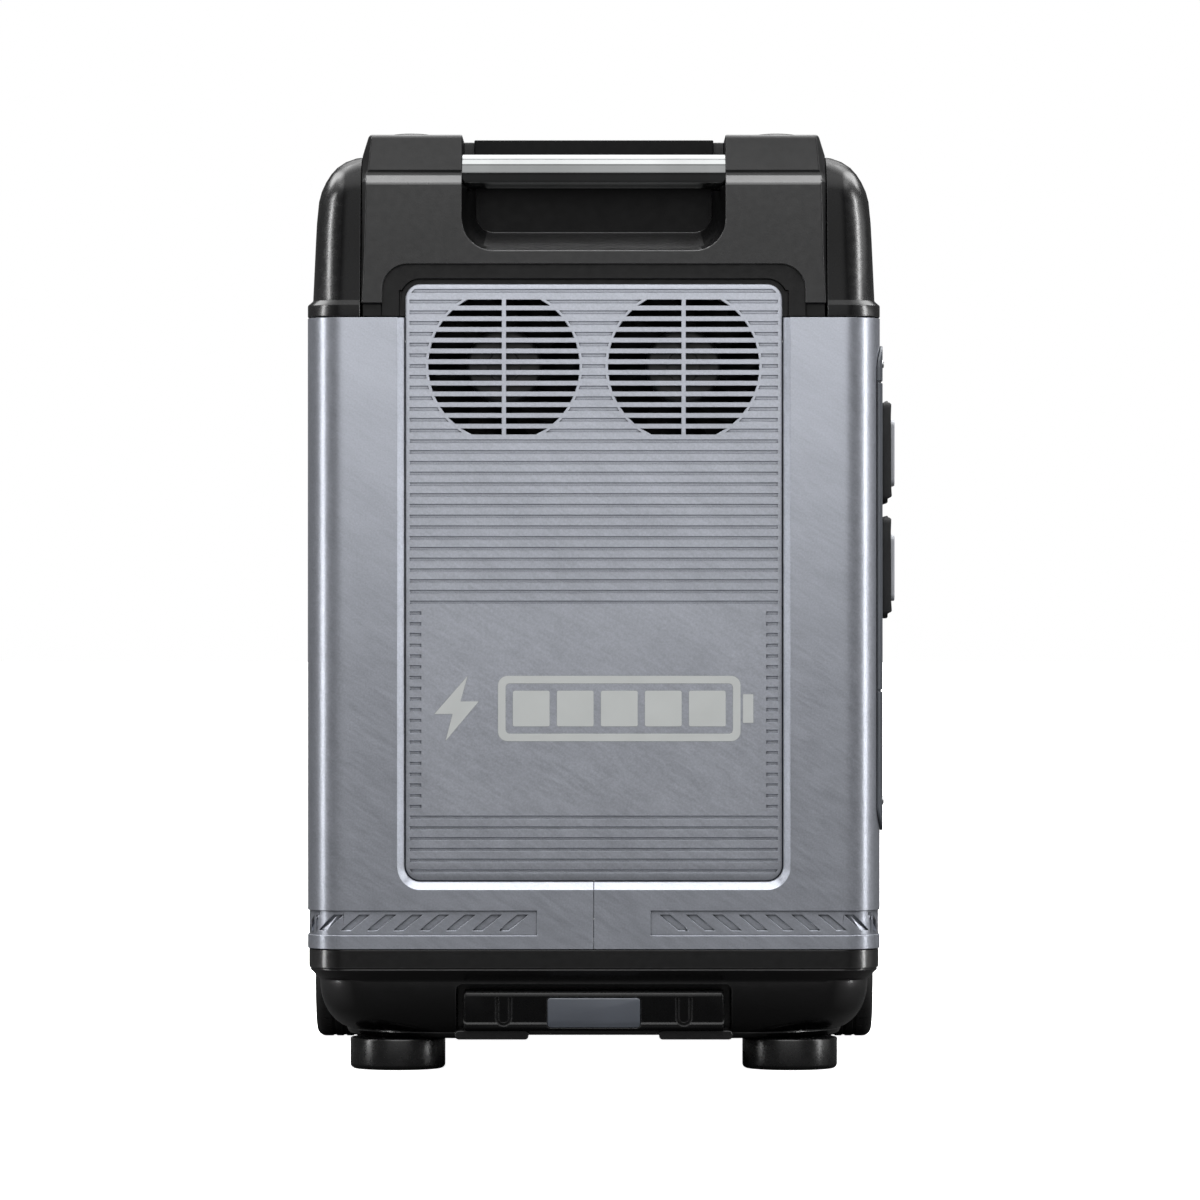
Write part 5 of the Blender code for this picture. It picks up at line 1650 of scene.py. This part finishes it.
# Rear ports ------------------------------------------------------------------------------------
def make_tub(low, high):
    """The sunk tub of the rear ports: openings with a line round each, and ribs beside them."""
    node = "rear_port_panel"
    y, z = middle_of(node)
    half_y, half_z = half_size(node)
    floor_x = high.x
    tub = block("rear_port_tub", slab((y, z), (half_y, half_z), 0.0057, "X", floor_x, low.x, 0.0006, 8))
    inner = centred_rect((y, z), half_y - 0.002, half_z - 0.002, 0.0038)
    cut(tub, prism(inner, "X", -HALF_W - PAST, floor_x - 0.003))
    # Room above the door for its top edge to swing.
    hinge = JOINTS["port_door_hinge"]["pos_m"]
    cut(tub, cylinder("Y", (hinge[0], hinge[2]), 0.0030, low.y + 0.0015, high.y - 0.0015))
    for name in ("ac_inlet", "solar_inlet"):
        cut(tub, hole_for(name, 0.0033, floor_x - 0.02, floor_x + 0.02))
        size_y, size_z = half_size(name)
        depth = (floor_x - 0.01, floor_x - 0.0025)
        cut(tub, frame_line(middle_of(name), size_y + 0.005, size_z + 0.005, 0.004, 0.0007, *depth))
    ribs = bmesh.new()
    for i in range(8):
        rib_y = -0.105 + 0.0042 * i
        add_box(ribs, (floor_x - 0.0040, rib_y, 0.310), (floor_x - 0.0025, rib_y + 0.0014, 0.398))
    join(tub, ribs)
    finish(tub, FRONT, nodes=[node], bevel=0.0003)


def make_inlets():
    metal = bmesh.new()
    for name, pins in (("ac_inlet", 3), ("solar_inlet", 2)):
        low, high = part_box(name)
        y, z = middle_of(name)
        half_y, half_z = half_size(name)
        body = block(name + "_body", slab((y, z), (half_y, half_z), 0.003, "X", high.x, low.x, 0.0006))
        depth = high.x - 0.012
        well = centred_rect((y, z), half_y - 0.0035, half_z - 0.0035, 0.0024)
        cut(body, prism(well, "X", low.x - 0.01, depth))
        finish(body, SOCKET, nodes=[name], bevel=0.0002)
        for i in range(pins):
            pin_y = y + 0.0075 * (i - (pins - 1) / 2)
            foot = (low.x + 0.0035, pin_y - 0.0009, z - 0.0026)
            add_box(metal, foot, (depth + 0.001, pin_y + 0.0009, z + 0.0026))
    finish(block("inlet_pins", metal), BRASS, bevel=0.0002)


def make_rear():
    low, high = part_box("rear_port_panel")
    make_tub(low, high)
    for screw_y in (0.100, 0.002):
        for screw_z in (0.310, 0.398):
            make_screw("rear_screw", (high.x - 0.003, screw_y, screw_z), -1)
    make_inlets()
    make_door()


def make_door():
    """The flush door over the rear ports, with a scoop to lift it by and a generic bolt on it."""
    node = "rear_port_door"
    low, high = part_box(node)
    hinge = JOINTS["port_door_hinge"]["pos_m"]
    radius = high.z - hinge[2]
    outer = low.x
    edge = 0.0004
    side_view = arc((hinge[0], hinge[2]), radius, 0, 90, 6)
    side_view += [(outer + edge, high.z), (outer, high.z - edge)]
    side_view += [(outer, low.z + edge), (outer + edge, low.z), (outer + 0.0030, low.z)]
    side_view.append((hinge[0] + radius, hinge[2] - 0.004))
    door = block(node + "_skin", prism(side_view, "Y", low.y, high.y))
    keep(door, prism(node_outline(node, 0, 0, 0.0036, 8), "X", outer - 0.01, high.x + 0.01))
    rings = []
    for grow, x in ((0.0006, outer - 0.001), (0.0, outer + 0.0003), (-0.0012, outer + 0.0016)):
        shape = centred_rect((0, low.z + 0.012), 0.022 + grow, 0.0062 + grow, 0.006 + grow, 10)
        rings.append([Vector((x, a, b)) for a, b in shape])
    cut(door, made_of(add_loft, rings))
    half_y, half_z = half_size(node)
    z = (low.z + high.z) / 2
    line = (half_y - 0.006, half_z - 0.006)
    cut(door, frame_line((0, z), *line, 0.004, 0.0008, outer - 0.01, outer + 0.0007))
    finish(door, COVER, "port_door", [node], bevel=0.0002)
    bolt = prism(icon_bolt((0.0, z + 0.006), 0.0110), "X", outer - 0.00008, outer + 0.0002)
    finish(block(node + "_mark", bolt), PRINT, "port_door")


def make_filters():
    """Dark foam behind the fans, and behind the far grilles where the cooling air comes in."""
    behind_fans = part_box("fan_frame_front")[1].y + 0.0004
    behind_grilles = -PANEL_Y[1] - 0.0033
    pads = bmesh.new()
    for y in (behind_fans, behind_grilles):
        for side in (-1, 1):
            add_turned(pads, ((0.0485, y), (0.0485, y + 0.0025)), "Y", (side * FAN_X, FAN_Z))
    finish(block("filter_pads", pads), FOAM)


# Camera, light and floor -----------------------------------------------------------------------
def aim(obj, target):
    obj.rotation_euler = (Vector(target) - obj.location).to_track_quat("-Z", "Y").to_euler()


def soft_light(name, location, target, size, power):
    data = bpy.data.lights.new(name, "AREA")
    data.shape = "RECTANGLE"
    data.size, data.size_y = size
    data.energy = power
    obj = bpy.data.objects.new(name, data)
    obj.location = location
    bpy.context.scene.collection.objects.link(obj)
    aim(obj, target)
    obj.visible_camera = False


def make_camera():
    data = bpy.data.cameras.new("camera")
    data.lens = 219
    data.sensor_width = 36
    data.clip_end = 60
    camera = bpy.data.objects.new("camera", data)
    camera.location = (0.0039, -HALF_L - 4.57, 0.296)
    camera.rotation_euler = (math.pi / 2, 0, 0)
    bpy.context.scene.collection.objects.link(camera)
    bpy.context.scene.camera = camera


def step(tree, value, start, end):
    """0 below start and 1 above end, with a soft change between them."""
    node = tree.nodes.new("ShaderNodeMapRange")
    node.interpolation_type = "SMOOTHSTEP"
    node.inputs["From Min"].default_value = start
    node.inputs["From Max"].default_value = end
    tree.links.new(value, node.inputs["Value"])
    return node.outputs["Result"]


def make_world():
    """White to the eye. The object is lit by, and mirrors, a grey card in front and a bright ceiling."""
    world = bpy.data.worlds.new("studio")
    world.use_nodes = True
    bpy.context.scene.world = world
    tree = world.node_tree
    background = tree.nodes["Background"]
    background.inputs["Color"].default_value = (1, 1, 1, 1)
    direction = tree.nodes.new("ShaderNodeTexCoord")
    parts = tree.nodes.new("ShaderNodeSeparateXYZ")
    tree.links.new(direction.outputs["Generated"], parts.inputs[0])
    x, y, z = parts.outputs
    ahead = math_node(tree, "MULTIPLY", y, -1.0)
    azimuth = math_node(tree, "ABSOLUTE", math_node(tree, "ARCTAN2", x, ahead))
    front = math_node(tree, "SUBTRACT", 1.0, step(tree, azimuth, 0.33, 0.62))
    rear = step(tree, azimuth, 2.1, 2.7)
    card = math_node(tree, "MULTIPLY", front, 0.26)
    wall = math_node(tree, "ADD", card, math_node(tree, "MULTIPLY", rear, 0.06))
    right = math_node(tree, "MULTIPLY", step(tree, x, 0.90, 0.985), 0.55)
    wall = math_node(tree, "ADD", wall, math_node(tree, "ADD", right, 0.055))
    above_floor = step(tree, z, -0.30, -0.18)
    ceiling = step(tree, z, 0.70, 0.80)
    beam = step(tree, math_node(tree, "ABSOLUTE", math_node(tree, "ADD", y, 0.052)), 0.020, 0.045)
    ceiling = math_node(tree, "MULTIPLY", ceiling, beam)
    lit = math_node(tree, "MULTIPLY", wall, above_floor)
    lit = math_node(tree, "ADD", lit, math_node(tree, "MULTIPLY", ceiling, 4.2))
    lit = math_node(tree, "ADD", lit, 0.02)
    path = tree.nodes.new("ShaderNodeLightPath")
    to_eye = path.outputs["Is Camera Ray"]
    hidden = math_node(tree, "MULTIPLY", lit, math_node(tree, "SUBTRACT", 1.0, to_eye))
    tree.links.new(math_node(tree, "ADD", hidden, to_eye), background.inputs["Strength"])


def make_floor():
    """A pale floor: white to the eye, though it gives back little light to the object's underside."""
    bm = bmesh.new()
    bmesh.ops.create_grid(bm, x_segments=1, y_segments=1, size=30)
    floor = block("floor", bm)
    floor.location.z = -0.0002
    made = principled("floor", (0.9, 0.9, 0.9), 0.9)
    tree = made.node_tree
    path = tree.nodes.new("ShaderNodeLightPath")
    shader = tree.nodes["Principled BSDF"]
    glow = tree.nodes.new("ShaderNodeEmission")
    glow.inputs["Strength"].default_value = 1.0
    pale = tree.nodes.new("ShaderNodeAddShader")
    dark = tree.nodes.new("ShaderNodeBsdfDiffuse")
    dark.inputs["Color"].default_value = (0.04, 0.04, 0.04, 1)
    mix = tree.nodes.new("ShaderNodeMixShader")
    tree.links.new(shader.outputs[0], pale.inputs[0])
    tree.links.new(glow.outputs[0], pale.inputs[1])
    tree.links.new(path.outputs["Is Camera Ray"], mix.inputs[0])
    tree.links.new(dark.outputs[0], mix.inputs[1])
    tree.links.new(pale.outputs[0], mix.inputs[2])
    tree.links.new(mix.outputs[0], tree.nodes["Material Output"].inputs["Surface"])
    floor.data.materials.append(made)


def make_lights():
    middle = (0, 0, 0.3)
    soft_light("strip_right", (1.50, -0.52, 0.55), (0.1, -0.1, 0.35), (0.15, 1.7), 8.5)
    soft_light("strip_left", (-1.50, -0.58, 0.55), (-0.1, -0.1, 0.35), (0.15, 1.7), 8.0)
    soft_light("front", (0.0, -1.35, 0.92), (0, -0.2, 0.60), (1.3, 1.1), 6.3)
    soft_light("top", (0.0, 0.9, 1.9), middle, (1.6, 1.6), 18)
    soft_light("side_right", (1.4, 0.9, 2.2), middle, (1.2, 1.2), 26)
    soft_light("side_left", (-1.4, 0.9, 2.2), middle, (1.2, 1.2), 26)


def dress_inside():
    """Materials for the CAD nodes that stay, most of them inside the case."""
    looks = {
        STEEL: ("chassis_plate", "wheel_axle_front", "wheel_axle_rear"),
        WRAP: ("battery_module_front", "battery_module_rear"),
        BOARD: ("inverter_board", "charger_board", "bms_board", "display_module"),
        FINS: ("inverter_heatsink",),
        FAN: ("fan_frame_front", "fan_frame_rear"),
    }
    for material, names in looks.items():
        for name in names:
            frame["nodes"][name].material_slots[0].material = material


make_camera()
make_world()
make_floor()
make_lights()
make_shells()
make_end_panels()
make_marking()
make_fans()
make_base()
make_feet()
make_wheels()
make_trolley()
make_top_cover()
make_yokes()
make_caps()
make_front_panel()
make_sockets()
make_covers()
make_display()
make_ports()
make_keys()
make_rear()
make_filters()
dress_inside()
bpy.context.scene.view_settings.view_transform = "Standard"
